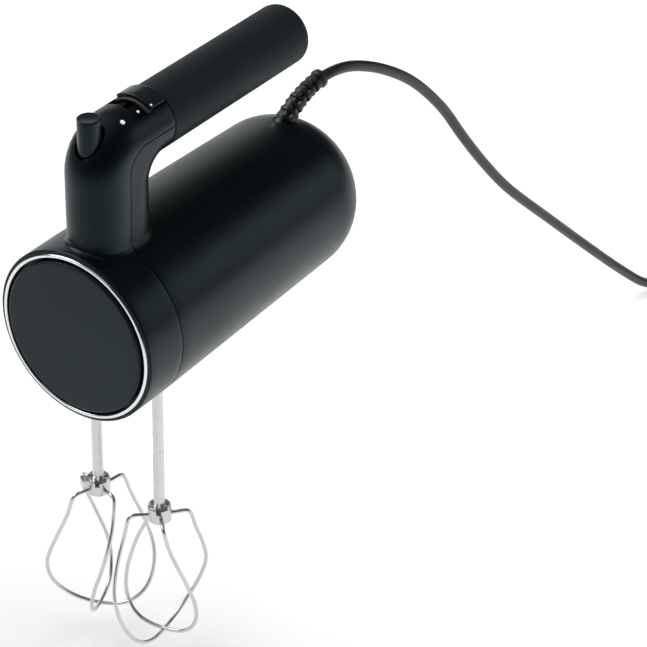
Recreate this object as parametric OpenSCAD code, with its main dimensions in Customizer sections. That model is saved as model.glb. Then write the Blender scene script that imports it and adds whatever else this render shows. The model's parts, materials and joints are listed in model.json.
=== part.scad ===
// Hand mixer with a horizontal round body, a cantilevered round handle and two wire beaters.
// Millimetres, +Z up. The body axis runs along Y, the front disc faces -Y and the beaters hang down.
// The origin is the middle of the round grip, where a hand holds the mixer.

/* [Body] */
// Outer radius of the body at the front moulding
body_r = 49.5; // [49:0.1:50]
// Outer radius of the body where the rear dome starts
body_rear_r = 46.2; // [45.5:0.1:47]
// Length of the body from the front rim to the end of the dome
body_len = 216.7; // [212:0.1:222]
// Radius of the rounded corner that makes the rear dome
dome_r = 38; // [36:0.5:40]
// Distance from the front rim to the joint between the two mouldings
front_len = 27.2; // [26:0.1:28]
// Wall thickness of the plastic mouldings
wall = 2.5; // [2.2:0.1:2.8]
// Radius of the satin disc on the front
disc_r = 43.6; // [43:0.1:44]

/* [Handle] */
// Radius of the round handle and of the pillar
handle_r = 17.3; // [17:0.1:17.6]
// Height of the grip axis above the body axis
grip_rise = 100.5; // [99:0.1:102]
// Outside radius of the bend from the pillar into the grip
bend_out = 30; // [29:0.5:31]
// Inside radius of the bend from the pillar into the grip
bend_in = 7; // [6.5:0.1:7.5]
// Distance from the front rim to the collar where the soft sleeve starts
collar_y = 64.5; // [64:0.1:65]
// Distance from the front rim to the end of the grip
grip_end = 185.5; // [183:0.5:188]

/* [Controls] */
// Radius of the round beater release button
button_r = 6.2; // [6:0.1:6.4]
// Travel of the beater release button
button_travel = 6; // [5.5:0.1:6]
// Travel of the speed slider
slider_travel = 8; // [7:0.5:8]

/* [Beaters] */
// Distance between the two beater axes
beater_gap = 43; // [42.8:0.1:43.2]
// Radius of a beater shaft
shaft_r = 3.1; // [3:0.05:3.15]
// Radius of the beater wire
wire_r = 1.1; // [1:0.05:1.2]

/* [Cord] */
// Outer diameter of the power cord
cord_d = 6.4; // [6.2:0.1:6.6]

/* [Hidden] */
$fn = 64;
grip_mid = 125;
cut = 0.4;
far = 300;
pillar_rear_y = bend_in + handle_r + 11.2;
bend_in_y = pillar_rear_y + bend_in + handle_r;
bend_in_z = grip_rise - bend_in - handle_r;
bend_out_mid = bend_out - handle_r;
bend_out_y = 36;
bend_out_z = grip_rise - bend_out_mid;
pillar_front_y = bend_out_y - bend_out_mid;
seam_r = 14;
seam_z = grip_rise + 1.5;
dome_y = body_len - dome_r;
button_y = 16.9;
button_top = 121.7;
button_bottom = 101.2;
well_r = 7.7;
well_floor = button_bottom - button_travel - 1.2;
slot_half = 41;
block_y = 51.9;
block_len = 12;
slot_y = block_y - slider_travel - 2.4;
beater_y = 40.6;
phase_right = 46;
phase_left = 74;
beater_x = beater_gap / 2;
spindle_r = 5.5;
shaft_top = -16.3;
hub_low = -134;
hub_h = 10.6;
motor_y = 92;
motor_len = 30;
shaft_y0 = 21.5;
shaft_y1 = 158;
worm_lead = 4.33;
worm_turns = 4;
worm_y = beater_y - worm_lead * worm_turns / 2;
gear_teeth = 24;
gear_h = 8;
gear_twist = 3.8;
boss_at = 27.2;
boss_r = 4.2;
relief_arc_r = 52;
relief_mid = [38, 11];
relief_turn = 10;
relief_root = [0, 187, 0];
coil_x = 112;
coil_y = 600;
plug_x = 142;
coil_mid = 31;
floor_z = -230;
tie_t = 0.7;
coil_z = floor_z + tie_t + cord_d;
plug_z = -223.1;

// Route of the cord from the strain relief to the coil: x, y, z.
cord_route = [[4.7, 213.8, 61.9], [7.6, 230, 62], [10.6, 248, 56], [14, 268, 45.6], [18, 291, 29],
    [22.5, 316, 2.8], [26, 334, -22.5], [30, 356, -51], [34.6, 382, -80.5], [42, 424, -120],
    [49, 466, -159], [56, 508, -197], [62, 537, -220.5], [67, 558, -225.6], [71, 575, -226.1],
    [76, 588, -226.1]];
// Short end of the cord between the coil and the plug: x, y, z.
tail_route = [[144, 588, -219.7], [142.6, 577, -220.2], [plug_x, 565, -222.3], [plug_x, 552, -223.1]];

// Half of the outer wire loop from the hub to the bottom: radius, height, twist.
outer_loop = [[5.5, -130, 0], [9, -130, 0], [13, -129.6, 0], [16, -130.2, 0], [18, -133.5, 2],
    [20.5, -143, 6], [26, -159, 15], [29.6, -172, 22], [30.6, -183, 29], [28.5, -195, 36],
    [24, -204, 42], [17, -210.5, 46], [9, -213.8, 49], [0, -214.8, 50]];
// Half of the inner wire loop from the hub to the bottom: radius, height, twist.
inner_loop = [[5.5, -130, 0], [9, -130, 0], [12, -129.8, 0], [14.6, -131, 0], [16, -135, 3],
    [18, -144, 10], [22.5, -159, 24], [24.6, -172, 34], [25, -183, 42], [23.6, -194, 48],
    [19.8, -203, 51], [14, -208.6, 53], [7, -211, 54], [0, -211.6, 54]];

module place() {
    translate([0, -grip_mid, -grip_rise]) children();
}

module along_y(y) {
    translate([0, y, 0]) rotate([-90, 0, 0]) children();
}

module at_beater(side) {
    translate([side * beater_x, beater_y, 0]) children();
}

// Flat plate between two heights.
module slab(width, y0, y1, z0, z1) {
    translate([-width / 2, y0, z0]) cube([width, y1 - y0, z1 - z0]);
}

// Round body from the front rim to the dome, turned about the body axis.
module body_solid(inset) {
    along_y(0) rotate_extrude($fn = 96) {
        polygon([[0, inset], [body_r - inset, inset], [body_r - inset, front_len],
            [body_rear_r - inset, dome_y], [0, dome_y]]);
        translate([0, dome_y]) square([body_rear_r - dome_r, dome_r - inset]);
        intersection() {
            translate([body_rear_r - dome_r, dome_y]) circle(dome_r - inset);
            translate([body_rear_r - dome_r, dome_y]) square(dome_r);
        }
    }
}

// Cross-section of the pillar, longer from front to back than it is wide.
module pillar_section(r) {
    translate([0, pillar_front_y]) circle(r);
    translate([0, pillar_rear_y]) circle(r);
    translate([-r, pillar_front_y]) square([2 * r, pillar_rear_y - pillar_front_y]);
}

// Round bar with a flat-sided web reaching back to the middle of the bend.
module bend_section(r, mid, web) {
    intersection() {
        translate([mid, 0]) circle(r);
        translate([0, -r]) square([mid + r, 2 * r]);
    }
    translate([min(mid, mid + web), -r]) square([abs(web), 2 * r]);
}

// Quarter turn about a sideways axis, from pointing forward to pointing up.
module quarter(y, z) {
    translate([0, y, z]) rotate([0, 90, 0]) rotate([0, 0, 180]) rotate_extrude(angle = 90, $fn = 96)
        children();
}

// The whole handle as one solid, drawn smaller all round by the inset.
module handle_solid(inset) {
    r = handle_r - inset;
    translate([0, 0, 20]) linear_extrude(bend_in_z - 20) pillar_section(r);
    translate([0, 0, bend_in_z]) linear_extrude(bend_out_z - bend_in_z) {
        translate([0, pillar_front_y]) circle(r);
        translate([-r, pillar_front_y]) square([2 * r, bend_out_y - pillar_front_y]);
    }
    quarter(bend_out_y, bend_out_z) bend_section(r, bend_out_mid, -bend_out_mid);
    intersection() {
        quarter(bend_in_y, bend_in_z) bend_section(r, bend_in + handle_r, 20);
        slab(2 * r + 2, pillar_rear_y, bend_in_y, bend_in_z, grip_rise);
    }
    intersection() {
        along_y(bend_out_y) translate([0, -grip_rise, 0]) cylinder(r = r, h = bend_in_y - bend_out_y);
        slab(2 * r + 2, bend_out_y, bend_in_y, grip_rise, grip_rise + 2 * r);
    }
    along_y(bend_in_y) translate([0, -grip_rise, 0]) cylinder(r = r, h = collar_y - 0.3 - bend_in_y);
}

// Rear side of the joint between the two mouldings, seen from the side, grown by a margin.
module rear_side(grow) {
    rotate([90, 0, 90]) linear_extrude(2 * far, center = true) {
        translate([front_len + seam_r, seam_z - seam_r]) circle(seam_r + grow);
        translate([front_len - grow, -80]) square([far, seam_z - seam_r + 80]);
        translate([front_len + seam_r, -80]) square([far, seam_z + grow + 80]);
    }
}

// Flared foot where the pillar runs into the round body.
module foot(grow, rise) {
    intersection() {
        translate([0, 0, 30]) linear_extrude(30) pillar_section(handle_r + grow);
        along_y(0) cylinder(r = body_r + rise, h = 80, $fn = 96);
    }
}

module feet() {
    foot(2.6, 0.5);
    foot(1.4, 1.3);
    foot(0.6, 2.6);
}

// Four screw posts around the body axis.
module at_bosses() {
    for (x = [-1, 1], z = [-1, 1]) translate([x * boss_at, 0, z * boss_at]) children();
}

// Part of a tube about the grip axis, on its upper side, between two radii.
module saddle(r0, r1, half, y0, y1) {
    reach = r1 + 4;
    along_y(y0) translate([0, -grip_rise, 0]) linear_extrude(y1 - y0) intersection() {
        difference() {
            circle(r1);
            circle(r0);
        }
        polygon([[0, 0], [-reach * tan(half), -reach], [reach * tan(half), -reach]]);
    }
}

// Something standing on the upper side of the grip tube, turned about its axis.
module on_grip(y, angle, r) {
    translate([0, y, grip_rise]) rotate([0, angle, 0]) translate([0, 0, r]) children();
}

function mix(a, b, t) = a + (b - a) * t;
function unit(v) = v / norm(v);

// Point on the smooth curve through a list of points; t counts along the list.
function smooth(p, t) =
    let (i = min(floor(t), len(p) - 2), u = t - i, b = p[i], c = p[i + 1],
        a = i > 0 ? p[i - 1] : 2 * b - c, d = i < len(p) - 2 ? p[i + 2] : 2 * c - b)
    0.5 * (2 * b + (c - a) * u + (2 * a - 5 * b + 4 * c - d) * u * u
        + (3 * b - 3 * c + d - a) * u * u * u);

// Closed tube through rings of points, each ring round its own centre.
module tube(rings) {
    n = len(rings[0]);
    m = len(rings);
    polyhedron(points = [for (ring = rings, p = ring) p],
        faces = concat([[for (i = [0 : n - 1]) i]],
            [[for (i = [n - 1 : -1 : 0]) (m - 1) * n + i]],
            [for (k = [0 : m - 2], i = [0 : n - 1])
                [k * n + i, (k + 1) * n + i, (k + 1) * n + (i + 1) % n]],
            [for (k = [0 : m - 2], i = [0 : n - 1])
                [k * n + i, (k + 1) * n + (i + 1) % n, k * n + (i + 1) % n]]));
}

// Ring of points round a centre, square to a direction and level with a side vector.
function ring(mid, way, side, r, n) =
    let (u = unit(side - way * (side * way)), v = cross(way, u))
    [for (i = [0 : n - 1]) mid + r * (cos(360 * i / n) * u + sin(360 * i / n) * v)];

// Rings along a list of points that never turns sideways onto the side vector.
function route_rings(p, side, r, n, step) =
    [for (t = [0 : step : len(p) - 1 + step / 2])
        let (s = min(t, len(p) - 1), a = smooth(p, max(s - 0.02, 0)), b = smooth(p, min(s + 0.02, len(p) - 1)))
        ring(smooth(p, s), unit(b - a), side, r, n)];

// Point on one beater loop; t runs from -1 at one hub exit through 0 at the bottom to 1.
function loop_point(half, t, turn, hand) =
    let (h = smooth(half, (1 - abs(t)) * (len(half) - 1)), a = turn + hand * h[2], r = t < 0 ? -h[0] : h[0])
    [r * cos(a), r * sin(a), h[1]];

function loop_side(half, t, turn, hand) =
    let (h = smooth(half, (1 - abs(t)) * (len(half) - 1)), a = turn + hand * h[2])
    [-sin(a), cos(a), 0];

module beater_loop(half, turn, hand) {
    steps = 26;
    tube([for (k = [-steps : steps])
        let (t = k / steps, way = unit(loop_point(half, min(t + 0.004, 1), turn, hand)
            - loop_point(half, max(t - 0.004, -1), turn, hand)))
        ring(loop_point(half, t, turn, hand), way, loop_side(half, t, turn, hand), wire_r, 8)]);
}

// Coil spring along Z.
module spring(r, wire, h, turns) {
    steps = turns * 12;
    tube([for (k = [0 : steps])
        let (a = 360 * turns * k / steps, way = unit([-sin(a) * r, cos(a) * r, h / turns / 2 / PI]))
        ring([r * cos(a), r * sin(a), h * k / steps], way, [cos(a), sin(a), 0], wire, 6)]);
}

module front_housing() {
    color("#1c1e20") place() {
        difference() {
            union() {
                along_y(0) rotate_extrude($fn = 96) polygon([[0, 4], [45.4, 4], [45.4, 2], [47.4, 2],
                    [47.4, 0.3], [48.6, 0.3], [body_r, 1.3], [body_r, front_len - cut / 2],
                    [body_r - wall, front_len - cut / 2], [body_r - wall, 6.6], [0, 6.6]]);
                difference() {
                    union() {
                        handle_solid(0);
                        feet();
                    }
                    rear_side(cut / 2);
                    along_y(0) cylinder(r = body_r - wall, h = far, $fn = 96);
                }
                at_bosses() along_y(6) cylinder(r = boss_r, h = front_len - 6 - cut / 2);
            }
            difference() {
                handle_solid(wall);
                translate([0, button_y, well_floor - 1.8]) cylinder(r = well_r + 1.6, h = 60);
                along_y(-1) cylinder(r = body_r - wall, h = 7.6, $fn = 96);
            }
            translate([0, button_y, well_floor]) cylinder(r = well_r, h = 60);
            translate([0, button_y, well_floor - 5]) cylinder(r = 2.4, h = 10);
            saddle(handle_r - wall - 2, handle_r + 2, slot_half, slot_y, collar_y);
            at_bosses() along_y(2) cylinder(r = 1.9, h = 40);
            at_bosses() along_y(2) cylinder(r = 3.4, h = 4.2);
        }
    }
}

module main_shell() {
    color("#1a1c1e") place() {
        difference() {
            intersection() {
                union() {
                    body_solid(0);
                    handle_solid(0);
                    feet();
                }
                rear_side(-cut / 2);
            }
            body_solid(wall);
            intersection() {
                handle_solid(wall);
                rear_side(5);
            }
            for (side = [-1, 1]) at_beater(side) translate([0, 0, -60]) cylinder(r = 8.7, h = 30);
            for (i = [-2.5 : 2.5]) translate([i * 7, 0, 0]) slab(2.6, 128, 164, -60, -35);
            relief_frame() relief_bore();
        }
        intersection() {
            union() {
                at_bosses() along_y(front_len + cut / 2) difference() {
                    cylinder(r = boss_r, h = 7);
                    translate([0, 0, -1]) cylinder(r = 1.4, h = 9);
                }
                for (a = [45 : 90 : 315]) along_y(front_len + cut / 2) rotate([0, 0, a])
                    translate([boss_at * sqrt(2) + 2.5, -1.2, 0]) cube([7, 2.4, 7]);
                for (side = [-1, 1]) difference() {
                    translate([side * 38.5, 0, 0]) slab(13, 32, 58, -16.2, -12.8);
                    at_frame_screws() translate([0, 0, -10]) cylinder(r = 1.7, h = 20);
                }
                for (side = [-1, 1]) translate([side * 39.3, 0, 0]) slab(16.4, 96, 118, -3, 3);
                for (side = [-1, 1], x = [-16, 16]) translate([x, 0, 0])
                    slab(3, 96, 118, side * 36.5 - 8.4, side * 36.5 + 8.4);
                for (side = [-1, 1], z = [-21, 25]) translate([side * 35.5, 0, z]) difference() {
                    slab(29, 165.8, 168.8, -3.5, 3.5);
                    translate([side * -13.5, 160, 0]) rotate([-90, 0, 0]) cylinder(r = 1.3, h = 10);
                }
                slab(12, 171, 177, 38.1, 47);
            }
            body_solid(wall / 3);
        }
    }
}

module chrome_ring() {
    color("#e4e6e8") place() along_y(0) rotate_extrude($fn = 128) polygon([[45.4, 2], [45.4, 0],
        [45.8, -0.5], [47, -0.5], [47.4, 0], [47.4, 2]]);
}

module front_disc() {
    color("#2f3335") place() along_y(0) rotate_extrude($fn = 128) polygon([[0, 4], [0, -1.3],
        [disc_r - 1, -1.3], [disc_r, -0.6], [disc_r, 4]]);
}

module grip_core() {
    color("#26282a") place() difference() {
        along_y(60.8) translate([0, -grip_rise, 0]) difference() {
            cylinder(r = 14.6, h = 118.5);
            translate([0, 0, -1]) cylinder(r = 12.2, h = 117);
        }
        slab(40, 50, collar_y + 1.5, grip_rise - 2, grip_rise + 30);
    }
}

module grip_sleeve() {
    color("#17181a") place() along_y(0) translate([0, -grip_rise, 0]) rotate_extrude($fn = 96) {
        difference() {
            union() {
                translate([0, collar_y + 0.3]) square([handle_r, grip_end - collar_y - 5.9]);
                translate([0, grip_end - 5.6]) square([handle_r - 5.6, 5.6]);
                translate([handle_r - 5.6, grip_end - 5.6]) intersection() {
                    circle(5.6);
                    square(6);
                }
            }
            translate([-1, collar_y - 1]) square([15.8, 180.5 - collar_y]);
        }
    }
}

// The slider is a saddle-shaped thumb block with a thin lip in front and a stem below.
module speed_slider() {
    color("#2b2e30") place() {
        saddle(15.2, 18.4, 38.5, block_y, block_y + block_len);
        saddle(18.2, 18.9, 36.5, block_y + 0.7, block_y + block_len - 0.7);
        saddle(15.2, 16.2, 38.5, block_y - 1.2, block_y + 0.2);
        slab(3, block_y + 2.5, block_y + 7.5, grip_rise + 5.2, grip_rise + 15.6);
    }
}

module slider_track() {
    color("#0d0e0f") place() difference() {
        saddle(13.4, 14.7, 62, slot_y - 2, 64.2);
        slab(4, 44.5, 63, grip_rise + 10, grip_rise + 20);
    }
}

module mark_disc(r) {
    color("#f2f2f0") cylinder(r = r, h = 0.5);
}

module speed_marks() {
    place() on_grip(32.4, 30.9, 16.9) mark_disc(1.3);
    place() on_grip(47.6, 26.4, 14.5) mark_disc(0.8);
}

module slider_mark() {
    place() on_grip(53.5, 33.2, 18.5) mark_disc(0.65);
}

module speed_switch() {
    color("#23364a") place() difference() {
        slab(17, 42, 60.6, grip_rise - 10, grip_rise + 7.5);
        slab(4, 43.5, 60, grip_rise + 4, grip_rise + 10);
    }
}

module control_board() {
    color("#2c6b3f") place() difference() {
        slab(54, 164, 165.6, -26, 30);
        for (x = [-22, 22], z = [-21, 25]) translate([x, 160, z]) rotate([-90, 0, 0])
            cylinder(r = 1.6, h = 10);
    }
}

module suppressor_capacitor() {
    color("#c9a227") place() slab(18, 165.6, 173.6, 4, 20);
}

module suppressor_choke() {
    color("#b06a32") place() translate([-4, 165.6, -10]) rotate([-90, 0, 0]) difference() {
        cylinder(r = 8, h = 7);
        translate([0, 0, -1]) cylinder(r = 3.4, h = 9);
    }
}

module eject_button() {
    color("#202325") place() translate([0, button_y, button_bottom]) difference() {
        rotate_extrude() polygon([[0, 0], [button_r, 0], [button_r, button_top - button_bottom - 0.8],
            [button_r - 0.8, button_top - button_bottom], [0, button_top - button_bottom]]);
        translate([0, 0, -1]) difference() {
            cylinder(r = 5, h = 17);
            cylinder(r = 2.9, h = 17);
        }
    }
}

module eject_spring() {
    color("#b9bcc0") place() translate([0, button_y, well_floor + 0.5]) spring(4, 0.45, 22.2, 7);
}

module eject_rod() {
    color("#c4c7ca") place() translate([0, button_y, 27.3]) cylinder(r = 2, h = button_bottom - 27.3);
}

module eject_yoke() {
    color("#d9d5c8") place() difference() {
        union() {
            translate([0, button_y, 24.3]) cylinder(r = 5, h = 3);
            for (side = [-1, 1]) at_beater(side) translate([0, 0, 24.3]) cylinder(r = 5.4, h = 3);
            slab(2 * beater_x, beater_y - 4, beater_y + 4, 24.3, 27.3);
            slab(8, button_y, beater_y, 24.3, 27.3);
        }
        for (side = [-1, 1]) at_beater(side) translate([0, 0, 23]) cylinder(r = 1.2, h = 6);
    }
}

module ejector_pin(side) {
    color("#cfd2d5") place() at_beater(side) {
        translate([0, 0, shaft_top]) cylinder(r = 2.4, h = 22 - shaft_top);
        translate([0, 0, 21.5]) cylinder(r = 4, h = 2.5);
    }
}

module ejector_pin_left() {
    ejector_pin(-1);
}

module ejector_pin_right() {
    ejector_pin(1);
}

module spindle(side) {
    color("#a9adb1") place() at_beater(side) difference() {
        translate([0, 0, -44]) cylinder(r = spindle_r, h = 57.6);
        translate([0, 0, -45]) cylinder(r = shaft_r + 0.35, h = 30);
        translate([0, 0, -16]) cylinder(r = 2.75, h = 40);
    }
}

module spindle_left() {
    spindle(-1);
}

module spindle_right() {
    spindle(1);
}

// Gear with narrow teeth, turned so that the worm thread runs in a gap.
module worm_gear(side, turn) {
    color("#e9e4d2") place() at_beater(side) difference() {
        union() {
            translate([0, 0, -gear_h / 2]) rotate([0, 0, turn - gear_twist / 2])
                linear_extrude(gear_h, twist = -gear_twist, slices = 3, segments = 96) polygon([
                    for (k = [0 : gear_teeth - 1], c = [[15.2, -4.1], [17, -1.9], [17, 1.9], [15.2, 4.1]])
                        let (a = 360 * k / gear_teeth + c[1]) c[0] * [cos(a), sin(a)]]);
            translate([0, 0, -7.6]) cylinder(r = 8, h = 15.2);
        }
        translate([0, 0, -20]) cylinder(r = spindle_r, h = 40);
    }
}

module worm_gear_left() {
    worm_gear(-1, 0);
}

module worm_gear_right() {
    worm_gear(1, 7.5);
}

module gearbox_frame() {
    color("#3b3f42") place() difference() {
        union() {
            slab(82, 32, 61.2, -12.7, -9.7);
            slab(62, 30, 61.2, 9, 12);
            slab(70, 58.2, 61.2, -26, 26);
            slab(12, 20, 25.2, -12.7, 12);
            slab(12, 20, 36, -12.7, -9.7);
            slab(12, 20, 36, 9, 12);
        }
        for (side = [-1, 1]) at_beater(side) translate([0, 0, -20]) cylinder(r = 7.5, h = 40);
        along_y(18) cylinder(r = 5, h = 10);
        along_y(50) cylinder(r = 8, h = 20);
        at_motor_screws() along_y(50) cylinder(r = 1.9, h = 20);
        at_frame_screws() cylinder(r = 1.7, h = 30, center = true);
    }
}

module spindle_bushings() {
    color("#b5895a") place() for (side = [-1, 1], z = [-12.7, 9]) at_beater(side) translate([0, 0, z])
        difference() {
            cylinder(r = 7.5, h = 3);
            translate([0, 0, -1]) cylinder(r = spindle_r + 0.06, h = 5);
        }
}

module at_frame_screws() {
    for (x = [-37, 37], y = [37, 53]) translate([x, y, -9.7]) children();
}

module at_motor_screws() {
    for (x = [-27, 27], z = [-22, 22]) translate([x, 0, z]) children();
}

// Pan-head screw pointing along +Z from the underside of its head.
module screw(r, head, h) {
    difference() {
        union() {
            translate([0, 0, -2]) cylinder(r = head, h = 2);
            cylinder(r = r, h = h);
        }
        for (a = [0, 90]) rotate([0, 0, a]) translate([-head * 0.6, -0.35, -2.5])
            cube([head * 1.2, 0.7, 1.5]);
    }
}

module gearbox_screws() {
    color("#8e9296") place() at_frame_screws() rotate([180, 0, 0]) screw(1.6, 2.9, 6);
}

module socket_collars() {
    color("#0f1011") place() intersection() {
        body_solid(0.3);
        for (side = [-1, 1]) at_beater(side) translate([0, 0, -48]) difference() {
            cylinder(r = 8.7, h = 11);
            translate([0, 0, -1]) cylinder(r = 6.2, h = 13);
        }
    }
}

module armature_shaft() {
    color("#b8bcc0") place() along_y(shaft_y0) cylinder(r = 3, h = shaft_y1 - shaft_y0);
}

module worm() {
    color("#9da1a5") place() along_y(worm_y) difference() {
        linear_extrude(worm_lead * worm_turns, twist = -360 * worm_turns, slices = 64, segments = 24)
            polygon([for (a = [0 : 15 : 345]) let (b = min(a, 360 - a), r = 6 - 1.8 * min(max(b - 45, 0) / 45, 1))
                r * [cos(a), sin(a)]]);
        translate([0, 0, -1]) cylinder(r = 3, h = 30);
    }
}

module bearing(y, r, h) {
    color("#a87b4f") place() along_y(y) difference() {
        cylinder(r = r, h = h);
        translate([0, 0, -1]) cylinder(r = 3.05, h = h + 2);
    }
}

module front_bearing() {
    bearing(20.4, 5, 4.4);
}

module middle_bearing() {
    bearing(57.8, 8, 4);
}

module rear_bearing() {
    bearing(148, 8, 6);
}

module cooling_fan() {
    color("#d8d3c4") place() along_y(66) difference() {
        union() {
            cylinder(r = 6.5, h = 10);
            cylinder(r = 29, h = 1.6);
            for (a = [0 : 30 : 330]) rotate([0, 0, a]) translate([6, -0.7, 0]) cube([22.5, 1.4, 9]);
        }
        translate([0, 0, -1]) cylinder(r = 3, h = 14);
    }
}

module armature_core() {
    color("#6f7478") place() along_y(motor_y) difference() {
        cylinder(r = 17, h = motor_len);
        translate([0, 0, -1]) cylinder(r = 3, h = motor_len + 2);
        for (a = [0 : 30 : 330]) rotate([0, 0, a]) translate([15.2, -0.8, -1]) cube([3, 1.6, motor_len + 2]);
    }
}

module armature_windings() {
    color("#b4622d") place() for (y = [motor_y - 7, motor_y + motor_len]) along_y(y) difference() {
        cylinder(r = 14.5, h = 7);
        translate([0, 0, -1]) cylinder(r = 3, h = 9);
    }
}

module commutator() {
    color("#c27a3a") place() along_y(132) difference() {
        cylinder(r = 9, h = 11);
        translate([0, 0, -1]) cylinder(r = 3, h = 13);
        for (a = [0 : 15 : 345]) rotate([0, 0, a]) translate([8.4, -0.25, -1]) cube([1, 0.5, 13]);
    }
}

module stator_core() {
    color("#7c8185") place() difference() {
        slab(62, motor_y, motor_y + motor_len, -28, 28);
        along_y(motor_y - 1) cylinder(r = 17.6, h = motor_len + 2);
        for (x = [-18.5, 18.5], z = [-18.8, 18.8]) translate([x, 0, z])
            slab(11, motor_y - 1, motor_y + motor_len + 1, -3.8, 3.8);
        at_motor_screws() along_y(motor_y - 1) cylinder(r = 1.9, h = motor_len + 2);
    }
}

module field_coils() {
    color("#a85a28") place() for (side = [-1, 1]) difference() {
        slab(46, motor_y - 6, motor_y + motor_len + 6, side * 20 - 2.2, side * 20 + 2.2);
        slab(26.2, motor_y - 0.2, motor_y + motor_len + 0.2, side * 20 - 5, side * 20 + 5);
    }
}

module rear_bracket() {
    color("#3b3f42") place() difference() {
        union() {
            slab(62, 146, 150, -6, 6);
            for (side = [-1, 1]) translate([side * 27, 0, 0]) slab(8, 146, 150, -27, 27);
            along_y(146) cylinder(r = 11, h = 8);
        }
        along_y(140) cylinder(r = 8, h = 20);
        at_motor_screws() along_y(140) cylinder(r = 1.9, h = 20);
    }
}

module brush_holders() {
    color("#c8a24a") place() for (side = [-1, 1]) translate([side * 19.5, 0, 0]) difference() {
        slab(17, 132.8, 146, -4.4, 4.4);
        slab(20, 134.2, 141, -3, 3);
    }
}

module carbon_brushes() {
    color("#2a2a2a") place() for (side = [-1, 1]) translate([side * 14.6, 0, 0])
        slab(11, 134.4, 140.8, -2.8, 2.8);
}

module brush_springs() {
    color("#b9bcc0") place() for (side = [-1, 1]) translate([side * 20.6, 137.6, 0]) rotate([0, side * 90, 0])
        spring(2.1, 0.35, 6.9, 5);
}

module motor_screws() {
    color("#8e9296") place() at_motor_screws() along_y(150) rotate([180, 0, 0]) screw(1.6, 2.9, 95);
}

module housing_screws() {
    color("#8e9296") place() at_bosses() along_y(6.2) screw(1.35, 2.9, 27);
}

module cable_clamp() {
    color("#3b3f42") place() difference() {
        slab(20, 170, 178, 30, 38);
        translate([0, 160, 36]) rotate([-90, 0, 0]) cylinder(r = cord_d / 2, h = 30);
    }
}

module supply_wires() {
    color("#5a3a2a") place() for (x = [-1.6, 1.6]) tube(route_rings([[x, 186, 45.5], [x, 179, 37.5],
        [x, 169, 35.6], [x, 152, 32.5], [x, 120, 40], [x, 90, 40], [x, 64, 40], [x, 46, 46], [x, 40, 60], [x, 40, 78],
        [x, 46, 88], [x, 52, 91]], [1, 0, 0], 1.2, 6, 0.5));
}

// The strain relief bends in an upright plane turned a little to the right of the body.
module relief_frame() {
    translate(relief_root) rotate([0, 0, -relief_turn]) children();
}

// Along the bent strain relief: angle above level where the child stands, pointing outwards.
module on_relief(angle) {
    translate([0, relief_mid[0], relief_mid[1]]) rotate([angle, 0, 0]) translate([0, 0, relief_arc_r])
        rotate([-90, 0, 0]) children();
}

module relief_bore() {
    on_relief(50) translate([0, 0, -14]) cylinder(r = 6.4, h = 26);
}

module relief_core(r, from, to) {
    translate([0, relief_mid[0], relief_mid[1]]) rotate([0, -90, 0]) rotate([0, 0, -to])
        rotate_extrude(angle = to - from, $fn = 96) translate([relief_arc_r, 0]) circle(r, $fn = 32);
}

module strain_relief() {
    color("#131416") place() relief_frame() {
        relief_core(3.9, 12, 58);
        for (i = [0 : 8]) on_relief(13.2 + 4.6 * i) translate([0, 0, -1])
            cylinder(r = i == 0 ? 5.2 : 4.8, h = 2.1);
    }
}

module power_cord() {
    color("#18191b") place() {
        tube(route_rings(cord_route, [1, 0, 0], cord_d / 2, 12, 0.25));
        tube(route_rings(tail_route, [0, 0, 1], cord_d / 2, 12, 0.5));
    }
}

module cord_coil() {
    color("#18191b") place() translate([coil_x, coil_y, coil_z]) rotate_extrude($fn = 96)
        translate([coil_mid, 0]) {
            for (x = [-0.5, 0.5], y = [-0.5, 0.5]) translate([x, y] * cord_d) circle(cord_d / 2, $fn = 24);
            square([2 * cord_d, cord_d], center = true);
            square([cord_d, 2 * cord_d], center = true);
        }
}

module coil_tie() {
    color("#0f1011") place() translate([coil_x, coil_y + coil_mid, coil_z]) difference() {
        cube([5, 2 * (cord_d + tie_t), 2 * (cord_d + tie_t)], center = true);
        cube([6, 2 * cord_d, 2 * cord_d], center = true);
    }
}

module plug_body() {
    color("#151618") place() translate([plug_x, 0, plug_z]) {
        linear_extrude(13.6, center = true) polygon([[-17.6, 500], [17.6, 500], [17.6, 516], [7, 534],
            [-7, 534], [-17.6, 516]]);
        along_y(533) cylinder(r = 5, h = 19);
    }
}

module plug_pins() {
    color("#c9ccd0") place() for (side = [-1, 1]) translate([plug_x + side * 9.3, 0, plug_z])
        along_y(481) cylinder(r = 2, h = 19);
}

module beater_shaft(side) {
    color("#d5d8da") place() at_beater(side) rotate_extrude() polygon([[0, shaft_top - 0.3],
        [2.5, shaft_top - 0.3], [shaft_r, shaft_top - 1], [shaft_r, -24], [shaft_r - 0.6, -24.6],
        [shaft_r - 0.6, -26], [shaft_r, -26.6], [shaft_r, hub_low + 1], [0, hub_low + 1]]);
}

module beater_shaft_left() {
    beater_shaft(-1);
}

module beater_shaft_right() {
    beater_shaft(1);
}

// Crimped hub with four ears round the shaft and four holes where the wires go in.
module beater_hub(side, phase) {
    difference() {
        translate([0, 0, hub_low]) rotate_extrude() polygon([[0, 0], [5.6, 0], [6.6, 1], [6.6, hub_h - 1],
            [5.8, hub_h], [0, hub_h]]);
        translate([0, 0, hub_low + 1]) cylinder(r = shaft_r, h = 20);
        for (a = [0, 90]) rotate([0, 0, -56 + a]) translate([-10, -1.3, hub_low + hub_h - 3.6])
            cube([20, 2.6, 5]);
        for (a = [0 : 90 : 270]) rotate([0, 0, phase + a]) translate([5, 0, -130]) rotate([0, 90, 0])
            cylinder(r = wire_r, h = 4);
    }
}

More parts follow.
